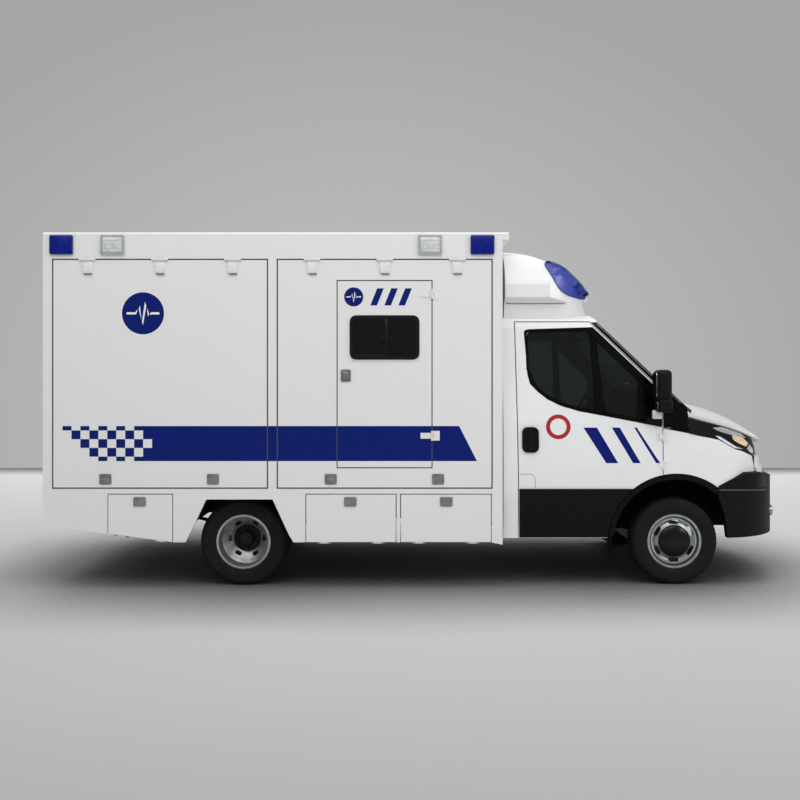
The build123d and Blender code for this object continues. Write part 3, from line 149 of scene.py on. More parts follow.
def white_enamel(name, lit_colour, shaded_colour, waviness=0.0006):
    """Two-pack polyurethane enamel, sprayed: a clear gloss, slow waves in the panel, and painted shade that
    makes it a little darker towards the bottom.
    """
    material, tree, shader, place = start_material(name)
    height = add(tree, "ShaderNodeSeparateXYZ", {"Vector": place}).outputs["Z"]
    noise = add(tree, "ShaderNodeTexNoise", {"Vector": place, "Scale": 3.0, "Detail": 4.0})
    uneven = add(tree, "ShaderNodeMath", {0: noise.outputs["Fac"], 1: 0.5}, operation="MULTIPLY")
    lifted = add(tree, "ShaderNodeMath", {0: height, 1: uneven.outputs["Value"]}, operation="ADD")
    # Painted shade: a little darker low on the panels, with a soft, uneven edge
    lower_shade = add(tree, "ShaderNodeMapRange", {
        "Value": lifted.outputs["Value"], "From Min": LOWER_SHADE_Z[1], "From Max": LOWER_SHADE_Z[0]})
    colour = colour_mix(tree, lower_shade.outputs["Result"], linear(lit_colour), linear(shaded_colour))
    tree.links.new(colour, shader.inputs["Base Color"])
    finish_shader(shader, roughness=0.32, coat_weight=0.35, coat_roughness=0.1)
    bump(tree, shader, place, 1 / PANEL_WAVE, waviness, detail=1.0)
    return material


def black_mouldings(name, colour, grain, roughness):
    """Polypropylene moulded with a leather-like grain, drawn a few times coarser than the real 1 mm."""
    material, tree, shader, place = start_material(name)
    worn = mottled(tree, place, colour, "#0E0F0F", 14.0, spread=(0.45, 0.95))
    tree.links.new(worn, shader.inputs["Base Color"])
    finish_shader(shader, roughness=roughness, specular_ior_level=0.18)
    bump(tree, shader, place, 1 / grain, grain * 0.12, kind="ShaderNodeTexVoronoi", output="Distance")
    return material


def plain(name, colour, roughness, metallic=0.0, second=None, grain=0.004, relief=0.00015, **more):
    """A moulded, cast or painted finish: two near colours, and a relief with its grain and depth in metres."""
    material, tree, shader, place = start_material(name)
    if second:
        tree.links.new(mottled(tree, place, colour, second, 22.0), shader.inputs["Base Color"])
    finish_shader(shader, base_color=linear(colour), roughness=roughness, metallic=metallic, **more)
    bump(tree, shader, place, 1 / grain, relief)
    return material


def window_glass(name, tint):
    """Toughened float glass tinted in the melt, smooth on both faces."""
    material, _, shader, _ = start_material(name)
    finish_shader(shader, base_color=linear(tint), roughness=0.0, transmission_weight=1.0, ior=1.4)
    return material


BOX_ENAMEL = white_enamel("box_enamel", "#E6E6E4", "#E0E0DE")
CAB_ENAMEL = white_enamel("cab_enamel", "#EBEBEB", "#E6E6E6", 0.0002)
CLADDING = black_mouldings("grained_polypropylene", "#060707", 0.004, 0.5)
LINER = black_mouldings("liner_polypropylene", "#030303", 0.006, 0.75)
GLASS = window_glass("tinted_glass", "#5F6E66")
DARK_GLASS = window_glass("privacy_glass", "#1C2022")
# Sprayed chassis enamel: half-gloss black, brown where grit has dulled it
CHASSIS_PAINT = plain("chassis_paint", "#0C0C0D", 0.5, second="#141313", specular_ior_level=0.25)
# Sand-cast iron: dark and half dull, with the sand's grain left in it
CAST_IRON = plain("cast_iron", "#34343A", 0.6, 0.6, second="#2A2725", grain=0.006, relief=0.0005)
# Rotomoulded polyethylene: a waxy black
TANK = plain("rotomoulded_polyethylene", "#141414", 0.6)
# Moulded ABS with a soft coat: dull, with a fine even grain
DASH = plain("soft_touch_abs", "#26272A", 0.7, second="#1E1F22", grain=0.003)
# Woven polyester: matt, its weave drawn as a coarse relief since its threads are too fine to show
SEAT_CLOTH = plain("woven_polyester", "#2C2E33", 0.9, second="#232529", grain=0.003, relief=0.0004)
# Rolled and aluminised steel: a grey metal shine, browned by heat
EXHAUST = plain("aluminised_steel", "#7C7872", 0.45, 0.9, second="#5F574F")
# Sheet vinyl: an even, nearly matt grey
FLOOR_PANEL = plain("floor_vinyl", "#7E8284", 0.6)
# Powder-coated steel: a pale grey with a faint orange peel
BIN_STEEL = plain("powder_coated_steel", "#9A9C9E", 0.45, second="#8E9092")
# Moulded polycarbonate dyed blue: deep and glossy
BLUE_LENS = plain("blue_polycarbonate", "#041C8A", 0.22, second="#03166E", specular_ior_level=0.25)
# Moulded clear polycarbonate with a fine prism pattern: pale and glossy
CLEAR_LENS = plain("clear_polycarbonate", "#D9DBDB", 0.2, second="#C4C7C8", grain=0.008, relief=0.0005)
# Smoked polycarbonate: nearly black, with a mirror's gloss
LAMP_HOUSING = plain("smoked_polycarbonate", "#101214", 0.08, second="#181A1D", grain=0.05, relief=0.00002)
# Moulded polycarbonate dyed red: lets a little light in
RED_LENS = plain("red_polycarbonate", "#A31410", 0.2, transmission_weight=0.3)
# Sprayed silver wheel paint: metal flakes under a thin lacquer
RIM_SILVER = plain("silver_wheel_paint", "#A4A6A8", 0.35, 0.75, second="#8B8C8C")
# Cured tyre rubber: matt black with a fine mould texture
RUBBER = plain("tyre_rubber", "#0E0E10", 0.8, second="#151516", grain=0.005, relief=0.0003,
               specular_ior_level=0.25)
# Cut vinyl film: smooth and half glossy, thinner than a coat of paint
NAVY = plain("navy_vinyl", "#001768", 0.35, second="#011B70", grain=0.02, relief=0.00005,
             specular_ior_level=0.2)
WHITE_VINYL = plain("white_vinyl", "#ECECEA", 0.35, grain=0.02, relief=0.00005)
RED_VINYL = plain("red_vinyl", "#B01515", 0.35, grain=0.02, relief=0.00005)
# Pressed and brushed stainless steel: a soft grey shine
STAINLESS = plain("brushed_stainless", "#B4B6B8", 0.3, 1.0, second="#9C9EA0", grain=0.004, relief=0.00008)
# Extruded EPDM rubber: matt, the outer lips greyed by weather
GREY_EPDM = plain("grey_epdm", "#3A3A3A", 0.8, second="#454544", grain=0.003)
# The black rubber also draws the filler flap's line, where it is painted shade in the gap
BLACK_EPDM_AND_GAP_SHADE = plain("black_epdm_and_gap_shade", "#2A2B2C", 0.8, second="#353637", grain=0.003)
# Painted shadow under the hinge pads: a dull mid grey strip
PAD_SHADOW_GREY = plain("hinge_pad_shadow_grey", "#7B7974", 0.7, second="#8A8882", grain=0.003)
# Anodised aluminium, dyed black: a dark, faintly metallic sheen
ANODISED = plain("anodised_aluminium", "#0B0C0D", 0.35, 0.4, second="#111213")
# Ceramic frit fired on glass: black under a smooth gloss
FRIT = plain("ceramic_frit", "#030404", 0.14, second="#060707", grain=0.05, relief=0.00002,
             specular_ior_level=0.15)
# Moulded ABS polished in the tool: gloss black
GLOSS_BLACK = plain("gloss_black_abs", "#050606", 0.22, second="#0A0B0C", grain=0.02, relief=0.00003,
                    specular_ior_level=0.3)
# Polished stainless trim: a clear, bright metal; the same finish draws a painted highlight along the A-pillars
BRIGHT_TRIM_AND_HIGHLIGHT = plain("polished_stainless_and_highlight", "#A9ADB0", 0.2, 1.0, second="#C2C5C7", grain=0.01, relief=0.00003)
# Chromed plastic under a clear cover: bright, broken up by its facets
CHROME = plain("chromed_reflector", "#E9EBEC", 0.16, 0.55, second="#C3C8CB", grain=0.012, relief=0.0006)
# Moulded polycarbonate, amber or frosted, with fine prisms
AMBER = plain("amber_polycarbonate", "#D9B98A", 0.2, second="#F0DDBB", grain=0.006, relief=0.0004)
LAMP_WHITE = plain("frosted_polycarbonate", "#E9EAEA", 0.25, second="#C9CCCD", grain=0.006, relief=0.0004)
# Moulded polycarbonate over a pale reflector: the fairing's lenses are a lighter blue, their rims darker
FAIRING_LENS = plain("pale_blue_polycarbonate", "#4A55B8", 0.22, second="#414CAA", grain=0.03, relief=0.0002)
# The dark blue also rings the box's blue lamps, where it is painted shade round the lens
DARK_BLUE_AND_RIM_SHADE = plain("dark_blue_polycarbonate_and_rim_shade", "#262C6E", 0.3, second="#2E3580", grain=0.03)
# Moulded ABS in light grey: smooth and half glossy
LAMP_FRAME = plain("grey_abs", "#A3A5A6", 0.4, second="#B2B4B4", grain=0.01)
# Silvered float glass: a mirror
MIRROR_GLASS = plain("silvered_glass", "#C9CFD2", 0.05, 1.0, grain=0.05, relief=0.00001)

FINISH = {
    "body_white": BOX_ENAMEL, "cab_white": CAB_ENAMEL, "chassis_black": CHASSIS_PAINT, "casting": CAST_IRON,
    "axle_black": CHASSIS_PAINT, "black_plastic": CLADDING, "liner_plastic": LINER, "dash_plastic": DASH,
    "glass": GLASS, "dark_glass": DARK_GLASS, "lamp_clear": CLEAR_LENS, "lamp_blue": BLUE_LENS,
    "lamp_red": RED_LENS, "head_lamp": LAMP_HOUSING, "rim_silver": RIM_SILVER, "tyre": RUBBER,
    "seat_fabric": SEAT_CLOTH, "tank_plastic": TANK, "exhaust_steel": EXHAUST, "floor_panel": FLOOR_PANEL,
    "bin_steel": BIN_STEEL,
}
for subpart in frame["record"]["subparts"]:
    cad = nodes[subpart["node"]]
    for number in range(max(1, len(cad.material_slots))):
        if not cad.material_slots:
            cad.data.materials.append(FINISH[subpart["material_slot"]])
        cad.material_slots[number].material = FINISH[subpart["material_slot"]]


# Shapes


def flat_face(points):
    """One face through an outline's corners."""
    bm = bmesh.new()
    bm.faces.new([bm.verts.new(p) for p in points])
    return bm


def flat_ring(outer, inner):
    """The band between two outlines with the same number of corners."""
    bm = bmesh.new()
    edges = []
    for outline in (outer, inner):
        verts = [bm.verts.new(p) for p in outline]
        edges += [bm.edges.new(pair) for pair in zip(verts, verts[1:] + verts[:1])]
    bmesh.ops.bridge_loops(bm, edges=edges)
    return bm


def thicken(bm, push):
    """Extrudes every face of a flat shape along push, into a closed solid."""
    found = bmesh.ops.extrude_face_region(bm, geom=list(bm.faces))
    bmesh.ops.translate(bm, verts=[v for v in found["geom"] if isinstance(v, bmesh.types.BMVert)], vec=push)
    bmesh.ops.recalc_face_normals(bm, faces=bm.faces)
    return bm


def side_points(outline, y=0.0):
    """An (x, z) outline as points in the plane at y."""
    return [(x, y, z) for x, z in outline]


def rounded(outline, radius, steps=5):
    """A closed outline with each corner rounded off."""
    points = [Vector(p) for p in outline]
    result = []
    for number, here in enumerate(points):
        before, after = points[number - 1], points[(number + 1) % len(points)]
        cut = min(radius, 0.48 * (before - here).length, 0.48 * (after - here).length)
        start, end = here + (before - here).normalized() * cut, here + (after - here).normalized() * cut
        for step in range(steps + 1):
            t = step / steps
            result.append(tuple((1 - t) ** 2 * start + 2 * t * (1 - t) * here + t * t * end))
    return result


def grown(outline, distance):
    """A closed outline moved outwards by a distance."""
    points = [Vector(p) for p in outline]
    area = sum(a.x * b.y - b.x * a.y for a, b in zip(points, points[1:] + points[:1]))
    turn = 1 if area > 0 else -1
    result = []
    for number, here in enumerate(points):
        a = (here - points[number - 1]).normalized()
        b = (points[(number + 1) % len(points)] - here).normalized()
        normal = Vector((a.y + b.y, -a.x - b.x)).normalized() * turn
        result.append(tuple(here + normal * distance))
    return result


def circle(x, z, radius, steps=48):
    """A circle's corners round (x, z)."""
    return [(x + radius * math.cos(math.tau * n / steps), z + radius * math.sin(math.tau * n / steps))
            for n in range(steps)]


def rectangle(x0, x1, z0, z1):
    """A rectangle's four corners."""
    return [(x0, z0), (x1, z0), (x1, z1), (x0, z1)]


def block(low, high, radius=0.0, segments=2):
    """A box between two corners with its edges rounded."""
    bm = bmesh.new()
    bmesh.ops.create_cube(bm, size=1.0)
    size = Vector(high) - Vector(low)
    bmesh.ops.scale(bm, vec=size, verts=bm.verts)
    bmesh.ops.translate(bm, vec=(Vector(low) + Vector(high)) / 2, verts=bm.verts)
    if radius:
        bmesh.ops.bevel(bm, geom=list(bm.edges), offset=radius, segments=segments, affect="EDGES",
                        profile=0.5, material=-1)
    return bm


def lathe(profile, centre, steps=64, axis=(0, 1, 0)):
    """An open profile of (radius, along) corners spun once round an axis through centre."""
    bm = bmesh.new()
    along = Vector(axis).normalized()
    across = along.orthogonal().normalized()
    verts = [bm.verts.new(Vector(centre) + across * r + along * a) for r, a in profile]
    edges = [bm.edges.new(pair) for pair in zip(verts, verts[1:])]
    bmesh.ops.spin(bm, geom=verts + edges, cent=centre, axis=along, angle=math.tau, steps=steps,
                   use_merge=True)
    bmesh.ops.remove_doubles(bm, verts=bm.verts, dist=1e-6)
    bmesh.ops.recalc_face_normals(bm, faces=bm.faces)
    return bm


def joined(parts):
    """Several bmeshes as one."""
    whole = bmesh.new()
    for part in parts:
        data = bpy.data.meshes.new("part")
        part.to_mesh(data)
        part.free()
        whole.from_mesh(data)
        bpy.data.meshes.remove(data)
    return whole


def mirrored(bm):
    """The left-hand twin of a right-hand shape."""
    copy = bm.copy()
    bmesh.ops.scale(copy, vec=(1, -1, 1), verts=copy.verts)
    bmesh.ops.reverse_faces(copy, faces=copy.faces)
    return copy


def both_of(right):
    """A right-hand shape and its left-hand twin as one."""
    return joined([mirrored(right), right])


def piece(name, bm, material, body, sharp=35):
    """A finished piece with its place in its mesh, riding on a body."""
    data = bpy.data.meshes.new(name)
    bm.to_mesh(data)
    bm.free()
    data.materials.append(material)
    data.shade_smooth()
    data.set_sharp_from_angle(angle=math.radians(sharp))
    item = bpy.data.objects.new(name, data)
    bpy.context.scene.collection.objects.link(item)
    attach(item, body)
    return item


def pair(name, bm, material, body, slot, sharp=35, replaces=None):
    """The same piece on both sides. body and replaces are names with the side left out."""
    twins = {"right": bm, "left": mirrored(bm)}
    for side, shape in twins.items():
        rides = body if body in frame["bodies"] else f"{body}_{side}"
        item = piece(f"{name}_{side}", shape, material, rides, sharp)
        if replaces:
            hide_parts(f"{replaces}_{side}")


def skin_of(*names):
    """The outer surface of some CAD nodes, for laying thin pieces on it."""
    points, faces = [], []
    for name in names:
        data = nodes[name].data
        start = len(points)
        points += [v.co.copy() for v in data.vertices]
        faces += [[start + i for i in p.vertices] for p in data.polygons]
    return BVHTree.FromPolygons(points, faces)


def cut_up(bm, pitch):
    """Cuts a flat shape into strips no wider than pitch, so that it can bend."""
    for axis in range(3):
        values = [v.co[axis] for v in bm.verts]
        low, high = min(values), max(values)
        count = int((high - low) / pitch)
        normal = Vector((0, 0, 0))
        normal[axis] = 1
        for number in range(1, count + 1):
            place = normal * (low + (high - low) * number / (count + 1))
            bmesh.ops.bisect_plane(bm, geom=bm.verts[:] + bm.edges[:] + bm.faces[:], plane_co=place,
                                   plane_no=normal)


def draped(bm, skin, lift, pitch=0.04, aim=(0, 1, 0)):
    """Lays a flat shape on a skin, seen along aim, with its face lift proud of it."""
    aim = Vector(aim)
    cut_up(bm, pitch)
    for v in bm.verts:
        flat = v.co - aim * v.co.dot(aim)
        hit = skin.ray_cast(flat - aim * 4.0, aim)[0] or skin.find_nearest(flat - aim)[0]
        v.co = flat + aim * (hit.dot(aim) - lift)
    return thicken(bm, aim * lift)


def strip(points, width):
    """A flat strip of one width along a line of (x, z) points."""
    line = [Vector(p) for p in points]
    left, right = [], []
    for number, here in enumerate(line):
        before, after = line[max(0, number - 1)], line[min(len(line) - 1, number + 1)]
        along = (after - before).normalized()
        across = Vector((-along.y, along.x)) * width / 2
        left.append(here + across)
        right.append(here - across)
    bm = bmesh.new()
    edges = []
    for side in (left, right):
        verts = [bm.verts.new((p.x, 0.0, p.y)) for p in side]
        edges += [bm.edges.new(ends) for ends in zip(verts, verts[1:])]
    bmesh.ops.bridge_loops(bm, edges=edges)
    return bm


# Vinyl stripes, chequer and emblems

VINYL = 0.0005
# The stripe stops this far short of a panel's edge
EDGE_GAP = 0.007
STRIPE_LOW, STRIPE_HIGH = 1.001, 1.276
CELL = 0.0702
CHEQUER_START = -2.844
# Each row's height range, its blue cells and the cell where the solid stripe starts, from the top
CHEQUER = (
    (1.2415, STRIPE_HIGH, (0, 2, 4, 6), 8),
    (1.1730, 1.2415, (1, 3, 5, 7), 9),
    (1.1045, 1.1730, (2, 4, 6, 8), 10),
    (1.0360, 1.1045, (3, 5, 7), 9),
    (STRIPE_LOW, 1.0360, (4, 6), 8),
)
REAR_FLAP = (-2.916, -1.242)
FRONT_FLAP = (-1.154, 0.520)
SIDE_DOOR = (-0.686, 0.050)
PANEL_FACE = SIDE_FACE - VINYL


def panel_decal(outlines, y=PANEL_FACE):
    """Thin vinyl cut to outlines, lying on the flat side of the box."""
    return joined([thicken(flat_face(side_points(outline, y)), (0, VINYL * 0.9, 0)) for outline in outlines])


def chequer_outlines():
    """The blue cells of the chequer and the solid stripe in each of its rows."""
    found = []
    for low, high, cells, start in CHEQUER:
        for cell in cells:
            x = CHEQUER_START + cell * CELL
            found.append(rectangle(x, x + CELL, low, high))
        found.append(rectangle(CHEQUER_START + start * CELL, REAR_FLAP[1], low, high))
    return found


STRIPE_END = ((0.267, STRIPE_HIGH), (0.407, STRIPE_LOW))
behind_door, ahead_of_door = SIDE_DOOR[0] - 0.008, SIDE_DOOR[1] + 0.008
door_and_front = [rectangle(FRONT_FLAP[0], behind_door, STRIPE_LOW, STRIPE_HIGH),
                  [(ahead_of_door, STRIPE_LOW), STRIPE_END[1], STRIPE_END[0], (ahead_of_door, STRIPE_HIGH)]]
piece("stripe_rear_right", panel_decal(chequer_outlines()), NAVY, "flap_rear_right")
piece("stripe_rear_left", mirrored(panel_decal(chequer_outlines())), NAVY, "flap_rear_left")
post = panel_decal([rectangle(REAR_FLAP[1] + EDGE_GAP, FRONT_FLAP[0] - EDGE_GAP, STRIPE_LOW, STRIPE_HIGH)])
pair("stripe_post", post, NAVY, "body", "body_white")
piece("stripe_front_right", panel_decal(door_and_front), NAVY, "flap_front_right")
piece("stripe_door", panel_decal([rectangle(*SIDE_DOOR, STRIPE_LOW, STRIPE_HIGH)]), NAVY, "side_door")
whole_front = [(FRONT_FLAP[0], STRIPE_LOW), STRIPE_END[1], STRIPE_END[0], (FRONT_FLAP[0], STRIPE_HIGH)]
piece("stripe_front_left", mirrored(panel_decal([whole_front])), NAVY, "flap_front_left")


def pulse_line(x, z, width, height, thickness):
    """A flat heartbeat trace, as a strip outline."""
    shape = ((-0.5, 0), (-0.22, 0), (-0.12, 0.32), (-0.02, -0.5), (0.09, 0.5), (0.18, -0.12), (0.25, 0),
             (0.5, 0))
    return strip([(x + a * width, z + b * height) for a, b in shape], thickness)


def roundel(x, z, radius):
    """A blue disc with a white heartbeat across it, as two thin shapes."""
    disc = panel_decal([circle(x, z, radius, 64)])
    trace = pulse_line(x, z, radius * 1.55, radius * 1.05, radius * 0.11)
    bmesh.ops.translate(trace, vec=(0, PANEL_FACE - VINYL, 0), verts=trace.verts)
    return disc, thicken(trace, (0, VINYL * 0.9, 0))


disc, trace = roundel(-2.213, 2.160, 0.165)
pair("box_roundel", disc, NAVY, "flap_rear", "body_white")
pair("box_roundel_trace", trace, WHITE_VINYL, "flap_rear", "body_white")
disc, trace = roundel(-0.560, 2.289, 0.075)
piece("door_roundel", disc, NAVY, "side_door")
piece("door_roundel_trace", trace, WHITE_VINYL, "side_door")
bars = [[(x, 2.222), (x + 0.052, 2.222), (x + 0.106, 2.356), (x + 0.054, 2.356)]
        for x in (-0.43, -0.32, -0.21)]
piece("door_bars", panel_decal(bars), NAVY, "side_door")

cab_skin = skin_of("cab_door_right")
# The three slanted bars on the cab door: top rear, top front, bottom front and bottom rear corners
SLANTED_BARS = (
    ((1.264, 1.258), (1.371, 1.258), (1.538, 0.976), (1.443, 0.976)),
    ((1.490, 1.258), (1.554, 1.258), (1.717, 0.976), (1.657, 0.976)),
    ((1.669, 1.258), (1.689, 1.258), (1.868, 0.980), (1.840, 0.976)),
)
slanted = joined([draped(flat_face(side_points(bar)), cab_skin, VINYL) for bar in SLANTED_BARS])
pair("cab_bars", slanted, NAVY, "cab_door", "cab_white")
RING_PLACE = (1.064, 1.264)
ring = flat_ring(side_points(circle(*RING_PLACE, 0.098)), side_points(circle(*RING_PLACE, 0.066)))
ring = draped(ring, cab_skin, VINYL)
pair("cab_ring", ring, RED_VINYL, "cab_door", "cab_white")


# Latches, hinge pads and seals on the box


def slam_latch(x, z, width=0.094, height=0.082):
    """A recessed slam latch: a pressed dish with a raised rim, a paddle across it and its lock barrel."""
    y = SIDE_FACE
    outer = rounded(rectangle(x - width / 2, x + width / 2, z - height / 2, z + height / 2), 0.012)
    inner = grown(outer, -0.009)
    rim = flat_ring(side_points(outer, y - 0.007), side_points(inner, y - 0.007))
    rim = thicken(rim, (0, 0.006, 0))
    floor_plate = thicken(flat_face(side_points(inner, y - 0.0015)), (0, 0.001, 0))
    paddle = block((x - width * 0.33, y - 0.0075, z - height * 0.05),
                   (x + width * 0.33, y - 0.003, z + height * 0.3), 0.0015)
    barrel = lathe([(0.0, -0.008), (0.009, -0.008), (0.010, -0.007), (0.010, -0.001)],
                   (x, y, z - height * 0.24), 24)
    return joined([rim, floor_plate, paddle, barrel])


FLAP_LATCH_Z = 0.859
for flap, places in (("rear", (-2.507, -1.663)), ("front", (-0.740, 0.101))):
    latches = joined([slam_latch(x, FLAP_LATCH_Z) for x in places])
    pair(f"{flap}_flap_latches", latches, STAINLESS, f"flap_{flap}", "bin_steel")
for name, x in (("locker_rear", -2.239), ("locker_middle", -0.587), ("locker_front", 0.166)):
    piece(name + "_latch", slam_latch(x, 0.682, 0.098, 0.074), STAINLESS, name)
piece("side_door_latch", slam_latch(-0.622, 1.671, 0.078, 0.095), STAINLESS, "side_door")

# Where each flap's three hinges stand, and how proud their pads are
HINGES = {flap: [x0 + share * (x1 - x0) for share in (0.16, 0.5, 0.84)]
          for flap, (x0, x1) in (("rear", REAR_FLAP), ("front", FRONT_FLAP))}
PAD_FACE = SIDE_FACE - 0.0125
SCREW = ((0.0, -0.0035), (0.004, -0.0033), (0.0065, -0.0015), (0.0065, 0.0005))
for flap, places in HINGES.items():
    screws = [lathe(SCREW, (middle + dx, PAD_FACE, z), 16)
              for middle in places for dx in (-0.027, 0.027) for z in (2.500, 2.535)]
    pair(f"{flap}_hinge_screws", joined(screws), BOX_ENAMEL, f"flap_{flap}", "bin_steel")


def seal_round(x0, x1, z0, z1, width=0.0105):
    """A thin rubber lip round an opening, lying on the panel beside the shut line."""
    inner = rectangle(x0 - 0.0004, x1 + 0.0004, z0 - 0.0004, z1 + 0.0004)
    outer = rectangle(x0 - width, x1 + width, z0 - width, z1 + width)
    face = SIDE_FACE - 0.0006
    return thicken(flat_ring(side_points(outer, face), side_points(inner, face)), (0, 0.006, 0))


for flap, places in HINGES.items():
    pads = [block((x - 0.040, PAD_FACE, 2.474), (x + 0.040, SIDE_FACE - 0.001, 2.556), 0.006, 3)
            for x in places]
    # A grey strip under each hinge pad: painted shadow where the pad overhangs
    pad_shadows = [block((x - 0.026, SIDE_FACE - 0.012, 2.462), (x + 0.036, SIDE_FACE - 0.001, 2.473), 0.003)
             for x in places]
    pair(f"{flap}_hinge_pads", joined(pads), BOX_ENAMEL, f"flap_{flap}", "body_white")
    pair(f"{flap}_hinge_stops", joined(pad_shadows), PAD_SHADOW_GREY, f"flap_{flap}", "black_plastic")
FLAP_Z = (0.794, 2.578)
SIDE_DOOR_Z = (0.953, 2.413)
flap_seals = joined([seal_round(*span, *FLAP_Z) for span in (REAR_FLAP, FRONT_FLAP)])
pair("flap_seals", flap_seals, GREY_EPDM, "body", "black_plastic")
piece("side_door_seal", seal_round(*SIDE_DOOR, *SIDE_DOOR_Z, 0.0085), GREY_EPDM, "flap_front_right")

# The personnel door's sliding window
WINDOW = (-0.580, -0.056, 1.808, 2.132)
BAR_X = (-0.315, -0.293)
RAIL_Y = (-1.104, -1.0965)
opening = rounded(rectangle(*WINDOW), 0.045)
frame_front = flat_ring(side_points(grown(opening, 0.012), -1.112), side_points(grown(opening, -0.014), -1.112))
frame_parts = [thicken(frame_front, (0, 0.014, 0)),
               block((BAR_X[0], -1.111, WINDOW[2] + 0.010), (BAR_X[1], -1.096, WINDOW[3] - 0.010), 0.002)]
for z in (WINDOW[2] + 0.012, WINDOW[3] - 0.026):
    frame_parts.append(block((-0.566, RAIL_Y[0], z), (BAR_X[0], RAIL_Y[1], z + 0.014), 0.001))
for x in (-0.336, -0.272):
    frame_parts.append(block((x - 0.009, -1.108, 1.955), (x + 0.009, RAIL_Y[1], 1.985), 0.002))
piece("side_window_frame", joined(frame_parts), ANODISED, "side_door")


# Cab glazing and black trim

glass_skin = skin_of("cab_door_glass_right")
shell_skin = skin_of("cab_shell")
lamp_skin = skin_of("headlamps")
bonnet_top = skin_of("bonnet")
bumper_face = skin_of("front_bumper")
fairing_face = skin_of("roof_fairing")

# The black band round the door's glass: its outer edge, then its inner edge, corner by corner from the rear
SURROUND = ((0.803, 2.022), (0.812, 2.040), (0.838, 2.047), (1.345, 2.064), (1.362, 2.064), (1.886, 1.549),
            (1.888, 1.262), (1.760, 1.287), (1.458, 1.345), (1.229, 1.388), (1.092, 1.430), (0.982, 1.482),
            (0.908, 1.540), (0.845, 1.606), (0.828, 1.669))
GLASS_EDGE = ((0.816, 1.990), (0.830, 2.012), (0.852, 2.036), (1.306, 2.048), (1.312, 2.046), (1.843, 1.527),
              (1.843, 1.291), (1.760, 1.305), (1.458, 1.359), (1.206, 1.405), (1.080, 1.446), (0.960, 1.511),
              (0.907, 1.560), (0.868, 1.614), (0.821, 1.722))
band = draped(flat_ring(side_points(SURROUND), side_points(GLASS_EDGE)), cab_skin, 0.0015, pitch=0.08)
pair("window_surround", band, FRIT, "cab_door", "dark_glass")
# The post between the sliding and the fixed glass, and the sail behind the mirror
GLASS_POST = ((1.315, 2.046), (1.329, 2.000), (1.354, 1.605), (1.350, 1.382), (1.450, 1.362), (1.418, 1.637),
              (1.389, 1.958), (1.384, 1.976))
MIRROR_SAIL = ((1.700, 1.667), (1.843, 1.527), (1.843, 1.291), (1.690, 1.322), (1.708, 1.637))
on_glass = [flat_ring(side_points(GLASS_EDGE), side_points(grown(GLASS_EDGE, -0.020))),
            flat_face(side_points(GLASS_POST)), flat_face(side_points(MIRROR_SAIL))]
frit = joined([draped(flat, glass_skin, 0.003, pitch=0.08) for flat in on_glass])
pair("window_frit", frit, FRIT, "cab_door", "dark_glass")
slider = strip([(0.845, 1.990), (1.300, 2.003), (1.322, 1.640), (1.322, 1.410)], 0.006)
slider = draped(slider, glass_skin, 0.004, pitch=0.08)
pair("sliding_glass_edge", slider, GLOSS_BLACK, "cab_door", "black_plastic")

pillar = draped(flat_face(side_points([(1.903, 1.254), (1.903, 1.560), (1.350, 2.102), (1.399, 2.106),
                                       (2.060, 1.455), (2.099, 1.417), (2.099, 1.219)])), shell_skin, 0.002)
pair("pillar_cover", pillar, FRIT, "body", "dark_glass")
# A thin bright strip along the pillar's outer edge: a painted highlight, standing for the light on the
# windscreen's edge seal
pillar_highlight = draped(strip([(1.396, 2.092), (1.700, 1.792), (2.045, 1.454)], 0.006), shell_skin, 0.006)
pair("pillar_painted_highlight", pillar_highlight, BRIGHT_TRIM_AND_HIGHLIGHT, "body", "rim_silver")

# The black trough along the bonnet's rear edge
trough = [(2.114, -0.938), (2.136, -0.936), (2.205, -0.75), (2.232, -0.42), (2.226, 0.0), (2.232, 0.42),
          (2.205, 0.75), (2.136, 0.936), (2.114, 0.938)]
trough = draped(flat_face([(x, y, 0.0) for x, y in trough]), bonnet_top, 0.004, aim=(0, 0, -1))
piece("bonnet_trough", trough, CLADDING, "bonnet")


# Doors and wings: handle, creases and the filler flap's line

handle_skin = skin_of("cab_door_trim_right")
cup = rounded(rectangle(0.780, 0.902, 1.066, 1.256), 0.040)
bezel = draped(flat_ring(side_points(cup), side_points(grown(cup, -0.013))), handle_skin, 0.005)
grip = rounded(rectangle(0.822, 0.862, 1.080, 1.242), 0.018)
grip = draped(flat_face(side_points(grip)), handle_skin, 0.009)
pair("door_handle", joined([bezel, grip]), GLOSS_BLACK, "cab_door", "black_plastic")

crease = strip([(0.762, 0.903), (1.340, 0.903), (1.430, 0.889), (1.500, 0.864), (1.545, 0.842)], 0.006)
pair("door_crease", draped(crease, cab_skin, 0.0012), CAB_ENAMEL, "cab_door", "cab_white")
# The filler flap's outline: a thin dark strip of painted shade where its gap lies
filler_gap_shade = strip([(0.762, 0.888), (0.842, 0.888), (0.866, 0.878), (0.876, 0.856), (0.880, 0.778)], 0.003)
pair("filler_flap_gap_shade", draped(filler_gap_shade, cab_skin, 0.0006), BLACK_EPDM_AND_GAP_SHADE, "cab_door", "black_plastic")
wing_face = skin_of("front_wings")
wing_line = strip([(1.912, 1.062), (2.150, 1.052), (2.330, 1.030), (2.500, 1.000), (2.640, 0.962)], 0.008)
pair("wing_crease", draped(wing_line, wing_face, 0.0015), CAB_ENAMEL, "body", "cab_white")


# Headlamps

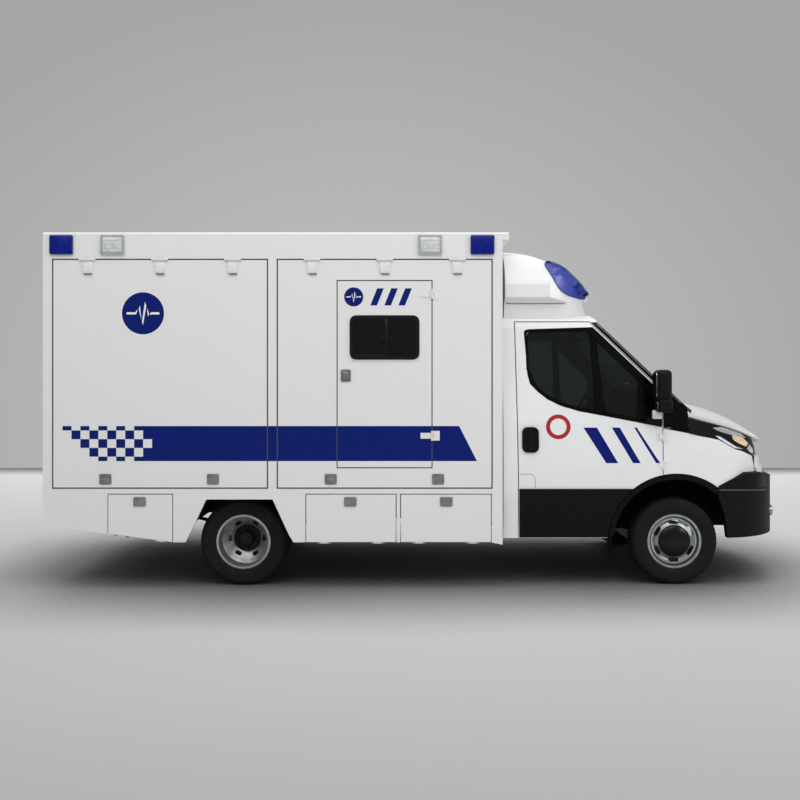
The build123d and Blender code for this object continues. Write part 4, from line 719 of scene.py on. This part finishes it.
HEADLAMP_PARTS = (
    ("upper_reflector", CHROME, ((2.290, 1.258), (2.370, 1.262), (2.456, 1.234), (2.530, 1.209), (2.590, 1.172),
                                 (2.511, 1.180), (2.421, 1.206), (2.337, 1.231))),
    ("turn_lens", AMBER, ((2.455, 1.196), (2.550, 1.178), (2.614, 1.128), (2.592, 1.100), (2.511, 1.132),
                          (2.465, 1.160))),
    ("running_strip", LAMP_WHITE, ((2.312, 1.196), (2.353, 1.186), (2.421, 1.145), (2.492, 1.104),
                                   (2.560, 1.084), (2.478, 1.092), (2.400, 1.134), (2.345, 1.170))),
    ("corner_reflector", CHROME, ((2.625, 1.118), (2.668, 1.078), (2.672, 1.040), (2.640, 1.050),
                                  (2.600, 1.082))),
)
for name, material, outline in HEADLAMP_PARTS:
    shape = draped(flat_face(side_points(rounded(outline, 0.008, 3))), lamp_skin, 0.0035, pitch=0.03)
    pair("headlamp_" + name, shape, material, "body", "head_lamp")


# Bumper, grilles and plates


def nose_x(y, tip, corner, half):
    """The nose's front at a distance from its middle, between its tip and its corner."""
    return FRONT_AXLE_X + tip - (tip - corner) * (y / half) ** 2


UPPER_BUMPER = ((2.350, 0.790), (2.430, 0.838), (2.511, 0.866), (2.576, 0.887), (2.674, 0.884), (2.755, 0.872),
                (2.783, 0.835), (2.785, 0.772), (2.604, 0.772), (2.472, 0.775))
upper_bumper = draped(flat_face(side_points(UPPER_BUMPER)), bumper_face, 0.0015)
pair("bumper_upper_panel", upper_bumper, GLOSS_BLACK, "body", "black_plastic")
split = draped(strip([(2.318, 0.763), (2.470, 0.761), (2.600, 0.757), (2.700, 0.751), (2.780, 0.745)], 0.004),
               bumper_face, 0.002)
pair("bumper_split_line", split, BRIGHT_TRIM_AND_HIGHLIGHT, "body", "black_plastic")

# Each grille's tip, corner and half width, its mesh's setback, reach to the side and half thickness, and its
# height range
GRILLES = ((0.906, 0.805, 0.62, 0.034, 0.450, 0.002, 0.930, 1.010),
           (0.996, 0.907, 0.56, 0.040, 0.425, 0.003, 0.604, 0.812))
MESH_PITCH = 0.021
bars = []
for number in range(-21, 22):
    y = number * MESH_PITCH
    for tip, corner, half, setback, reach, thin, low, high in GRILLES:
        if abs(y) < reach:
            x = nose_x(y, tip, corner, half) - setback
            bars.append(block((x - 0.004, y - thin, low), (x + 0.004, y + thin, high)))
piece("grille_mesh", joined(bars), GLOSS_BLACK, "body")

# The splash shield between the arch liner and the bumper
SHIELD = ((2.338, 0.470), (2.338, 0.900), (2.560, 0.890), (2.600, 0.700), (2.600, 0.420), (2.420, 0.420))
shield = flat_face(side_points(SHIELD, -0.620))
pair("arch_shield", thicken(shield, (0, 0.006, 0)), LINER, "body", "liner_plastic")

FOG_PLACE = (FRONT_AXLE_X + 0.868, -0.690, 0.560)
fog_lens = lathe([(0.0, 0.014), (0.018, 0.012), (0.034, 0.004), (0.040, -0.004), (0.040, -0.030)],
                 FOG_PLACE, 40, (1, 0, 0))
pair("fog_lens", fog_lens, LAMP_WHITE, "body", "head_lamp")
fog_bezel = lathe([(0.041, -0.030), (0.041, 0.006), (0.046, 0.008), (0.0475, -0.030)], FOG_PLACE, 40, (1, 0, 0))
pair("fog_bezel", fog_bezel, BRIGHT_TRIM_AND_HIGHLIGHT, "body", "rim_silver")

# Blank plates
PLATE_HALF = 0.260
front_plate = block((2.9500, -PLATE_HALF, 0.8440), (2.9560, PLATE_HALF, 0.9540), 0.002)
front_plate_carrier = block((2.900, -0.256, 0.848), (2.9495, 0.256, 0.950), 0.004)
piece("front_plate", front_plate, WHITE_VINYL, "body")
piece("front_plate_carrier", front_plate_carrier, GLOSS_BLACK, "body")
rear_plate = block((-2.9690, -PLATE_HALF, 0.476), (-2.9640, PLATE_HALF, 0.586), 0.002)
piece("rear_plate", rear_plate, WHITE_VINYL, "body")


# Windscreen: its black edge and the wipers

SCREEN_TOP, SCREEN_FOOT = (1.400, 2.110), (2.062, 1.455)


def on_screen(y, z, lift):
    """A place on the windscreen's plane, lift above it."""
    share = (SCREEN_TOP[1] - z) / (SCREEN_TOP[1] - SCREEN_FOOT[1])
    x = SCREEN_TOP[0] + share * (SCREEN_FOOT[0] - SCREEN_TOP[0])
    run = Vector((SCREEN_FOOT[0] - SCREEN_TOP[0], SCREEN_TOP[1] - SCREEN_FOOT[1])).normalized()
    return (x + run.y * lift, y, z + run.x * lift)


# The black edge lies on the glass's inner face
INNER_FACE = -0.0075
screen_edge = [(-0.850, 1.505), (0.850, 1.505), (0.735, 2.060), (-0.735, 2.060)]
screen_inner = [(-0.795, 1.560), (0.795, 1.560), (0.690, 2.005), (-0.690, 2.005)]
frit = flat_ring([on_screen(y, z, INNER_FACE) for y, z in grown(screen_edge, -0.001)],
                 [on_screen(y, z, INNER_FACE) for y, z in screen_inner])
outwards = Vector(on_screen(0, 2.0, 0.001)) - Vector(on_screen(0, 2.0, 0))
piece("windscreen_frit", thicken(frit, outwards), FRIT, "body")


def rod_between(start, end, radius, steps=12):
    """A round bar with closed ends between two points."""
    along = Vector(end) - Vector(start)
    return lathe([(0.0, 0.0), (radius, 0.0), (radius, along.length), (0.0, along.length)], start, steps, along)


wipers = []
for hub_y, tip_y in ((-0.62, 0.02), (0.10, 0.70)):
    hub = on_screen(hub_y, 1.492, 0.006)
    tip = on_screen((hub_y + tip_y) / 2 + 0.10, 1.600, 0.012)
    wipers.append(rod_between(hub, tip, 0.007))
    blade = on_screen(hub_y + 0.05, 1.570, 0.004), on_screen(tip_y + 0.10, 1.618, 0.004)
    wipers.append(rod_between(*blade, 0.005))
    wipers.append(lathe([(0.0, 0.016), (0.016, 0.014), (0.020, 0.0), (0.020, -0.012)], hub, 24, (0.7, 0, 0.7)))
piece("wipers", joined(wipers), GLOSS_BLACK, "body")


# Roof fairing lenses and the lamps on the box

lens = ((0.985, 2.592), (0.977, 2.566), (1.012, 2.497), (1.056, 2.424), (1.100, 2.362), (1.164, 2.328),
        (1.283, 2.308), (1.340, 2.312), (1.322, 2.345), (1.262, 2.420), (1.139, 2.525), (1.060, 2.570))
lens = rounded(lens, 0.030, 4)
body_of_lens = draped(flat_face(side_points(lens)), fairing_face, 0.006, pitch=0.05)
pair("fairing_lens", body_of_lens, FAIRING_LENS, "body", "lamp_blue")
rim = flat_ring(side_points(grown(lens, 0.009)), side_points(grown(lens, -0.002)))
rim = draped(rim, fairing_face, 0.007, pitch=0.05)
pair("fairing_lens_rim", rim, DARK_BLUE_AND_RIM_SHADE, "body", "lamp_blue")

# The lip's slanted underside: it rises outwards, and its front follows the lip's curve in plan
LIP_PLAN = ((0.648, -0.866), (0.648, -0.9548), (1.003, -0.9548), (1.060, -0.9310), (1.112, -0.9010),
            (1.160, -0.8660))
LIP_LOW_Z, LIP_LOW_Y, LIP_SLOPE = 2.2612, -0.868, 0.040 / 0.087
underside = flat_face([(x, y, LIP_LOW_Z + (LIP_LOW_Y - y) * LIP_SLOPE) for x, y in LIP_PLAN])
pair("fairing_underside", thicken(underside, (0, 0, -0.0025)), CAB_ENAMEL, "body", "cab_white")

LAMP_Z = (2.621, 2.771)
BLUE_LAMPS = ((-2.941, -2.760), (0.356, 0.542))
CLEAR_LAMPS = ((-2.543, -2.358), (-0.056, 0.131))
FRAME_FACE = SIDE_FACE - 0.020
RIB_PITCH = 0.03


def lamp_body(span, inset, radius):
    """One rounded lamp on the box's right side, drawn in by inset."""
    return block((span[0] + inset, SIDE_FACE - 0.0258, LAMP_Z[0] + inset),
                 (span[1] - inset, SIDE_FACE - 0.0003, LAMP_Z[1] - inset), radius, 3)


for name, spans, inset, radius, material, slot, stands_for in (
        ("blue_lamp_lenses", BLUE_LAMPS, 0.003, 0.009, BLUE_LENS, "lamp_blue", "blue_lamps"),
        ("flood_lamp_lenses", CLEAR_LAMPS, 0.016, 0.006, CLEAR_LENS, "lamp_clear", "flood_lamps")):
    bodies = joined([lamp_body(span, inset, radius) for span in spans])
    lenses = piece(name, both_of(bodies), material, "body")
    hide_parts(stands_for)
# The blue lamps' dark blue rings are painted shade round their lenses; the flood lamps' grey frames are real,
# with ribs across them
for name, spans, material, ribs in (("blue_lamp_frames", BLUE_LAMPS, DARK_BLUE_AND_RIM_SHADE, ()),
                                    ("flood_lamp_frames", CLEAR_LAMPS, LAMP_FRAME, (-1, 0, 1))):
    rings = []
    for x0, x1 in spans:
        edge = rounded(rectangle(x0, x1, *LAMP_Z), 0.012)
        ring = flat_ring(side_points(edge, FRAME_FACE), side_points(grown(edge, -0.015), FRAME_FACE))
        rings.append(thicken(ring, (0, 0.020, 0)))
        for rib in ribs:
            z = sum(LAMP_Z) / 2 + rib * RIB_PITCH
            rings.append(block((x0 + 0.012, SIDE_FACE - 0.0268, z - 0.0015),
                               (x1 - 0.012, SIDE_FACE - 0.018, z + 0.0015)))
    piece(name, both_of(joined(rings)), material, "body")


# Wheels and tyres

# The outer half of a tyre's section, as radius and distance from its middle, from the bead to the tread
TYRE_EDGE = ((0.2183, 0.0747), (0.2190, 0.0842), (0.2300, 0.0905), (0.2480, 0.0935), (0.2520, 0.0950),
             (0.2620, 0.0962), (0.2820, 0.0975), (0.3000, 0.0968), (0.3060, 0.0975), (0.3160, 0.0955),
             (0.3300, 0.0870), (0.3370, 0.0780), (0.3375, 0.0660))
TREAD_ROWS = ((-0.066, -0.044), (-0.038, -0.014), (-0.011, 0.011), (0.014, 0.038), (0.044, 0.066))
TREAD_BLOCKS = 58
BEAD = (0.2035, 0.0740)
# The blocks' tops; their corners reach the tyre's full radius
CROWN = 0.3446


def tyre(x, y):
    """A tyre with ribbed sidewalls, four grooves round its tread and its tread blocks."""
    centre = (x, y, WHEEL_Z)
    profile = [BEAD, *TYRE_EDGE, *[(r, -a) for r, a in reversed(TYRE_EDGE)], (BEAD[0], -BEAD[1])]
    parts = [lathe(profile, centre, 96)]
    for row, (low, high) in enumerate(TREAD_ROWS):
        base = block((-0.0150, low, CROWN - 0.012), (0.0150, high, CROWN - 0.0006 * abs(row - 2)))
        for number in range(TREAD_BLOCKS):
            copy = base.copy()
            # Each row is turned a third of a block past the last
            turn = math.tau * (number + 0.35 * row) / TREAD_BLOCKS
            bmesh.ops.rotate(copy, verts=copy.verts, cent=(0, 0, 0), matrix=Matrix.Rotation(turn, 3, "Y"))
            bmesh.ops.translate(copy, verts=copy.verts, vec=centre)
            parts.append(copy)
        base.free()
    return joined(parts)


pair("front_tyre_dressed", tyre(FRONT_AXLE_X, -FRONT_WHEEL_Y), RUBBER, "front_wheel", "tyre",
     replaces="front_tyre")
twins = joined([tyre(REAR_AXLE_X, -y) for y in REAR_TYRE_Y])
pair("rear_tyres_dressed", twins, RUBBER, "rear_wheels", "tyre", replaces="rear_tyres")


def wheel_ring(x, y, profile, steps=72):
    """A turned wheel part on the right side; its profile's second value is outboard from y."""
    return lathe([(r, -a) for r, a in profile], (x, -y, WHEEL_Z), steps)


cap = wheel_ring(FRONT_AXLE_X, FRONT_WHEEL_Y, [
    (0.0, 0.1012), (0.060, 0.1006), (0.070, 0.0992), (0.1128, 0.0912), (0.1232, 0.0835), (0.1272, 0.0785),
    (0.1272, 0.0560), (0.1262, 0.0545)])
cap_ring = wheel_ring(FRONT_AXLE_X, FRONT_WHEEL_Y, [
    (0.058, 0.1000), (0.058, 0.1030), (0.050, 0.1030), (0.050, 0.1000)])
pair("front_hub_cap", joined([cap, cap_ring]), GLOSS_BLACK, "front_wheel", "black_plastic")
for name, body, x, y, flange in (("front", "front_wheel", FRONT_AXLE_X, FRONT_WHEEL_Y, 0.0820),
                                 ("rear", "rear_wheels", REAR_AXLE_X, REAR_HUB_Y, 0.2020)):
    lip = wheel_ring(x, y, [(0.1990, flange - 0.006), (0.2010, flange + 0.0012), (0.2060, flange + 0.0026),
                            (0.2150, flange + 0.0022), (0.2176, flange - 0.001)])
    pair(f"{name}_rim_lip", lip, BRIGHT_TRIM_AND_HIGHLIGHT, body, "rim_silver")
inner = wheel_ring(FRONT_AXLE_X, FRONT_WHEEL_Y, [
    (0.1680, 0.0612), (0.1700, 0.0632), (0.1840, 0.0632), (0.1862, 0.0605)])
pair("front_disc_ring", inner, BRIGHT_TRIM_AND_HIGHLIGHT, "front_wheel", "rim_silver")
hub = wheel_ring(REAR_AXLE_X, REAR_HUB_Y, [
    (0.0, 0.0732), (0.030, 0.0730), (0.0485, 0.0712), (0.0582, 0.0625), (0.0582, 0.0150)], 48)
pair("rear_hub_cover", hub, CHASSIS_PAINT, "rear_wheels", "black_plastic")
# A nut on its stud and washer, as radius and distance from the wheel's disc
NUT = ((0.0, -0.036), (0.008, -0.036), (0.009, -0.034), (0.009, -0.026), (0.013, -0.026), (0.0155, -0.023),
       (0.0155, -0.004), (0.019, -0.003), (0.019, 0.001))
NUT_COUNT, NUT_CIRCLE = 6, 0.085
nuts = []
for number in range(NUT_COUNT):
    turn = math.tau * (number + 0.5) / NUT_COUNT
    x, z = REAR_AXLE_X + NUT_CIRCLE * math.cos(turn), WHEEL_Z + NUT_CIRCLE * math.sin(turn)
    nuts.append(lathe(NUT, (x, -REAR_HUB_Y - 0.012, z), 6))
pair("rear_wheel_nuts", joined(nuts), CAST_IRON, "rear_wheels", "casting")
# A dark disc over the wheel's inner dish: the hub flange, and painted shade in the deep dish round it
flange = wheel_ring(REAR_AXLE_X, REAR_HUB_Y, [
    (0.0570, 0.0155), (0.0800, 0.0155), (0.1080, 0.0140), (0.1110, 0.0125)])
pair("rear_hub_flange_and_dish_shade", flange, CHASSIS_PAINT, "rear_wheels", "axle_black")


# Mirrors

def rear_facing(low, high, radius, x, depth):
    """A rounded plate that faces the rear, between two (y, z) corners."""
    outline = rounded(rectangle(low[0], high[0], low[1], high[1]), radius)
    return thicken(flat_face([(x, y, z) for y, z in outline]), (depth, 0, 0))


mirror_glass = joined([rear_facing((-1.196, 1.502), (-1.081, 1.694), 0.03, 1.7885, 0.004),
                       rear_facing((-1.180, 1.410), (-1.090, 1.470), 0.015, 1.8005, 0.004)])
pair("mirror_glass", mirror_glass, MIRROR_GLASS, "cab_door", "rim_silver")
indicator = block((1.795, -1.078, 1.330), (1.868, -1.036, 1.400), 0.010, 3)
pair("mirror_side_lamp", indicator, LAMP_WHITE, "cab_door", "head_lamp")


# Rear doors and rear lamps

REAR_FACE_X = -2.975
ROD_Y = -0.055
DOOR_Z = (0.812, 2.575)
rods = [rod_between((REAR_FACE_X - 0.014, ROD_Y, DOOR_Z[0]), (REAR_FACE_X - 0.014, ROD_Y, DOOR_Z[1]), 0.007)]
for z in (0.840, 1.180, 1.560, 1.940, 2.320, 2.545):
    rods.append(block((REAR_FACE_X - 0.021, ROD_Y - 0.016, z - 0.014),
                      (REAR_FACE_X + 0.001, ROD_Y + 0.016, z + 0.014), 0.003))
rods.append(block((REAR_FACE_X - 0.023, ROD_Y - 0.180, 1.352), (REAR_FACE_X - 0.012, ROD_Y + 0.012, 1.380),
                  0.004))
rods.append(block((REAR_FACE_X - 0.016, ROD_Y - 0.200, 1.335), (REAR_FACE_X + 0.001, ROD_Y - 0.140, 1.397),
                  0.004))
piece("rear_lock_rod", joined(rods), STAINLESS, "rear_door_right")
meeting = block((REAR_FACE_X - 0.004, 0.006, DOOR_Z[0]), (REAR_FACE_X + 0.001, 0.034, DOOR_Z[1]), 0.0015)
piece("rear_meeting_seal", meeting, BLACK_EPDM_AND_GAP_SHADE, "rear_door_left")
handle = joined([block((REAR_FACE_X - 0.020, 0.080, 1.352), (REAR_FACE_X - 0.008, 0.240, 1.376), 0.004),
                 block((REAR_FACE_X - 0.014, 0.088, 1.345), (REAR_FACE_X + 0.001, 0.112, 1.383), 0.003),
                 block((REAR_FACE_X - 0.014, 0.208, 1.345), (REAR_FACE_X + 0.001, 0.232, 1.383), 0.003)])
piece("rear_pull_handle", handle, STAINLESS, "rear_door_left")
window_edge = rounded(rectangle(-0.716, -0.236, 1.820, 2.340), 0.050)
seal_x = REAR_FACE_X - 0.006
seal_ring = flat_ring([(seal_x, y, z) for y, z in grown(window_edge, 0.020)],
                      [(seal_x, y, z) for y, z in grown(window_edge, -0.010)])
pair("rear_window_seal", thicken(seal_ring, (0.012, 0, 0)), BLACK_EPDM_AND_GAP_SHADE, "rear_door", "black_plastic")
LAMP_BAR_X = -2.9925
bezels = []
for y in (-0.860, -0.700):
    edge = rounded(rectangle(y - 0.074, y + 0.074, 0.512, 0.590), 0.010)
    inner = grown(edge, -0.012)
    ring = flat_ring([(LAMP_BAR_X, a, b) for a, b in edge], [(LAMP_BAR_X, a, b) for a, b in inner])
    bezels.append(thicken(ring, (0.028, 0, 0)))
pair("rear_lamp_bezels", joined(bezels), GLOSS_BLACK, "body", "black_plastic")


# Seats: foam pads in cloth, each in the space of its solid


def pad(low, high, crown, lean, channels):
    """A crowned pad between two corners: its sides pull in, its sewn channels sink, and its top leans back."""
    bm = bmesh.new()
    bmesh.ops.create_cube(bm, size=2.0)
    bmesh.ops.subdivide_edges(bm, edges=bm.edges, cuts=12, use_grid_fill=True)
    size = (Vector(high) - Vector(low)) / 2
    middle = (Vector(high) + Vector(low)) / 2
    thin = min(range(3), key=lambda axis: size[axis])
    wide = [axis for axis in range(3) if axis != thin]
    for v in bm.verts:
        a, b = v.co[wide[0]], v.co[wide[1]]
        fullness = (1 - a ** 4) * (1 - b ** 4)
        sink = max((math.exp(-((abs(v.co[wide[0]]) - c) / 0.06) ** 2) for c in channels), default=0.0)
        sink *= 0.12 * fullness
        v.co[thin] *= 1 - crown + crown * fullness - sink
        v.co[wide[0]] *= 0.94 + 0.06 * (1 - v.co[thin] ** 2) * (1 - 0.5 * b * b)
        v.co[wide[1]] *= 0.94 + 0.06 * (1 - v.co[thin] ** 2) * (1 - 0.5 * a * a)
    for v in bm.verts:
        v.co = Vector(c * s for c, s in zip(v.co, size)) + middle
        v.co.x += lean * (v.co.z - low[2])
    bmesh.ops.recalc_face_normals(bm, faces=bm.faces)
    return bm


for side, y in (("right", -0.430), ("left", 0.420)):
    for name, low, high, crown, lean, channels in (
            ("seat_base", (0.850, y - 0.245, 1.042), (1.400, y + 0.245, 1.165), 0.35, 0.0, (0.45,)),
            ("seat_back", (0.838, y - 0.235, 1.170), (0.948, y + 0.235, 1.775), 0.40, -0.17, (0.0, 0.5)),
            ("head_rest", (0.734, y - 0.125, 1.785), (0.812, y + 0.125, 1.955), 0.40, 0.0, ())):
        cushion = pad(low, high, crown, lean, channels)
        item = piece(f"{name}_{side}", cushion, SEAT_CLOTH, "body", 180)
        smooth = item.modifiers.new("rounding", "SUBSURF")
        smooth.levels = smooth.render_levels = 1
        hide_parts("seat_cushions")


# Camera, floor and light

# The picture is square; its side, the lens's focal length and the horizon's row are in pixels
PICTURE = 800
FOCAL_LENGTH = 892.4
HORIZON_ROW = 380.0
FILM = 36.0
camera_data = bpy.data.cameras.new("photo_camera")
camera_data.sensor_width = FILM
camera_data.lens = FOCAL_LENGTH / PICTURE * FILM
camera_data.shift_y = (HORIZON_ROW - PICTURE / 2) / PICTURE
camera_data.clip_end = 200.0
camera = bpy.data.objects.new("photo_camera", camera_data)
camera.location = (-0.197, -8.1, 1.637)
camera.rotation_euler = (math.radians(90), 0, 0)
bpy.context.scene.collection.objects.link(camera)
bpy.context.scene.camera = camera


def lamp(name, place, turn, size, power):
    """A white softbox, turned by degrees from facing down."""
    data = bpy.data.lights.new(name, "AREA")
    data.shape = "RECTANGLE"
    data.size, data.size_y = size
    data.energy = power
    item = bpy.data.objects.new(name, data)
    item.location = place
    item.rotation_euler = [math.radians(a) for a in turn]
    bpy.context.scene.collection.objects.link(item)


lamp("overhead_softbox", (0.0, -1.0, 7.0), (0, 0, 0), (10.0, 7.0), 255.0)
lamp("side_softbox", (-1.0, -8.0, 8.0), (48, 0, 0), (12.0, 4.0), 400.0)
lamp("nose_softbox", (6.8, -4.5, 3.4), (71, 0, 46), (3.0, 2.0), 90.0)
lamp("rear_softbox", (0.0, 8.0, 6.5), (-55, 0, 0), (10.0, 3.0), 150.0)

world = bpy.data.worlds.new("studio_air")
bpy.context.scene.world = world
world.use_nodes = True
world_tree = world.node_tree
world_tree.nodes.clear()
air = add(world_tree, "ShaderNodeBackground", {"Color": linear("#E6E8EA"), "Strength": 0.42})
add(world_tree, "ShaderNodeOutputWorld", {"Surface": air.outputs["Background"]})


def stage_sheet(name, material, matrix):
    """One large flat face of the studio, placed by matrix."""
    sheet = bmesh.new()
    bmesh.ops.create_grid(sheet, x_segments=1, y_segments=1, size=60.0, matrix=matrix)
    data = bpy.data.meshes.new(name)
    sheet.to_mesh(data)
    data.materials.append(material)
    item = bpy.data.objects.new(name, data)
    bpy.context.scene.collection.objects.link(item)


def directly_seen(tree):
    """One for what the camera sees straight on, in gloss or through glass, nought for light that bounces."""
    path = add(tree, "ShaderNodeLightPath")
    seen = add(tree, "ShaderNodeMath", {0: path.outputs["Is Camera Ray"], 1: path.outputs["Is Glossy Ray"]},
               operation="MAXIMUM")
    seen = add(tree, "ShaderNodeMath", {0: seen.outputs["Value"], 1: path.outputs["Is Transmission Ray"]},
               operation="MAXIMUM")
    return seen.outputs["Value"]


def shown_as(colour_node, tree, shader):
    """Shows a stage colour as it is written where it is directly seen, and shades it elsewhere."""
    glow = add(tree, "ShaderNodeEmission", {"Color": colour_node})
    both = add(tree, "ShaderNodeMixShader", {0: directly_seen(tree), 1: shader.outputs["BSDF"],
                                             2: glow.outputs["Emission"]})
    # Its back is clear, so that it hides nothing from a camera behind it
    back = add(tree, "ShaderNodeNewGeometry").outputs["Backfacing"]
    clear_back = add(tree, "ShaderNodeBsdfTransparent")
    one_sided = add(tree, "ShaderNodeMixShader", {
        0: back, 1: both.outputs["Shader"], 2: clear_back.outputs["BSDF"]})
    output = next(n for n in tree.nodes if n.bl_idname == "ShaderNodeOutputMaterial")
    tree.links.new(one_sided.outputs["Shader"], output.inputs["Surface"])


WALL_Y = 8.5
# How far round the vehicle the painted shadow on the floor reaches, and how steeply it darkens
SHADE_REACH, SHADE_POWER = 1.4, 2.4
# The floor's glow starts at this distance in front of the vehicle and reaches its full strength at the wall
GLOW_START, GLOW_FULL = -4.6, 0.62
# Emulsion on a studio floor: matt, with a soft painted shadow close round and under the vehicle
floor_paint, floor_tree, floor_shader, floor_place = start_material("floor_paint")
finish_shader(floor_shader, roughness=0.9)
# Painted shadow: ambient occlusion darkens the floor's colour and its glow near the vehicle
shadow_occlusion = add(floor_tree, "ShaderNodeAmbientOcclusion", {"Distance": SHADE_REACH}, samples=8)
unshadowed_share = add(floor_tree, "ShaderNodeMath", {0: shadow_occlusion.outputs["AO"], 1: SHADE_POWER}, operation="POWER")
floor_tone = colour_mix(floor_tree, unshadowed_share.outputs["Value"], linear("#101010"), linear("#B8B9B9"))
floor_seen = directly_seen(floor_tree)
floor_tone = colour_mix(floor_tree, floor_seen, linear("#EAEAEA"), floor_tone)
floor_tree.links.new(floor_tone, floor_shader.inputs["Base Color"])
depth = add(floor_tree, "ShaderNodeSeparateXYZ", {"Vector": floor_place}).outputs["Y"]
glow = add(floor_tree, "ShaderNodeMapRange", {
    "Value": depth, "From Min": GLOW_START, "From Max": WALL_Y, "To Max": GLOW_FULL})
glow = add(floor_tree, "ShaderNodeMath", {0: glow.outputs["Result"], 1: unshadowed_share.outputs["Value"]},
           operation="MULTIPLY")
glow = add(floor_tree, "ShaderNodeMath", {0: glow.outputs["Value"], 1: floor_seen}, operation="MULTIPLY")
floor_tree.links.new(glow.outputs["Value"], floor_shader.inputs["Emission Strength"])
floor_shader.inputs["Emission Color"].default_value = linear("#F2F2F2")
stage_sheet("studio_floor", floor_paint, Matrix())

# Emulsion on a studio wall: matt, with painted light behind the vehicle and painted shade towards its upper
# corners
wall_paint, wall_tree, wall_shader, wall_place = start_material("wall_paint")
finish_shader(wall_shader, base_color=linear("#B4B4B5"), roughness=0.95)
centred = add(wall_tree, "ShaderNodeMapping", {"Vector": wall_place, "Location": (0.1, 0.0, -0.18),
                                               "Scale": (0.10, 0.0, 0.13)})
painted_light_fall = add(wall_tree, "ShaderNodeTexGradient", {"Vector": centred.outputs["Vector"]}, gradient_type="SPHERICAL")
tone = colour_mix(wall_tree, painted_light_fall.outputs["Fac"], linear("#A6A6A7"), linear("#C2C2C2"))
shown_as(tone, wall_tree, wall_shader)
upright = Matrix.Rotation(math.pi / 2, 4, "X")
stage_sheet("studio_wall", wall_paint, Matrix.Translation((0, WALL_Y, 0)) @ upright)

view = bpy.context.scene.view_settings
view.view_transform = "Standard"
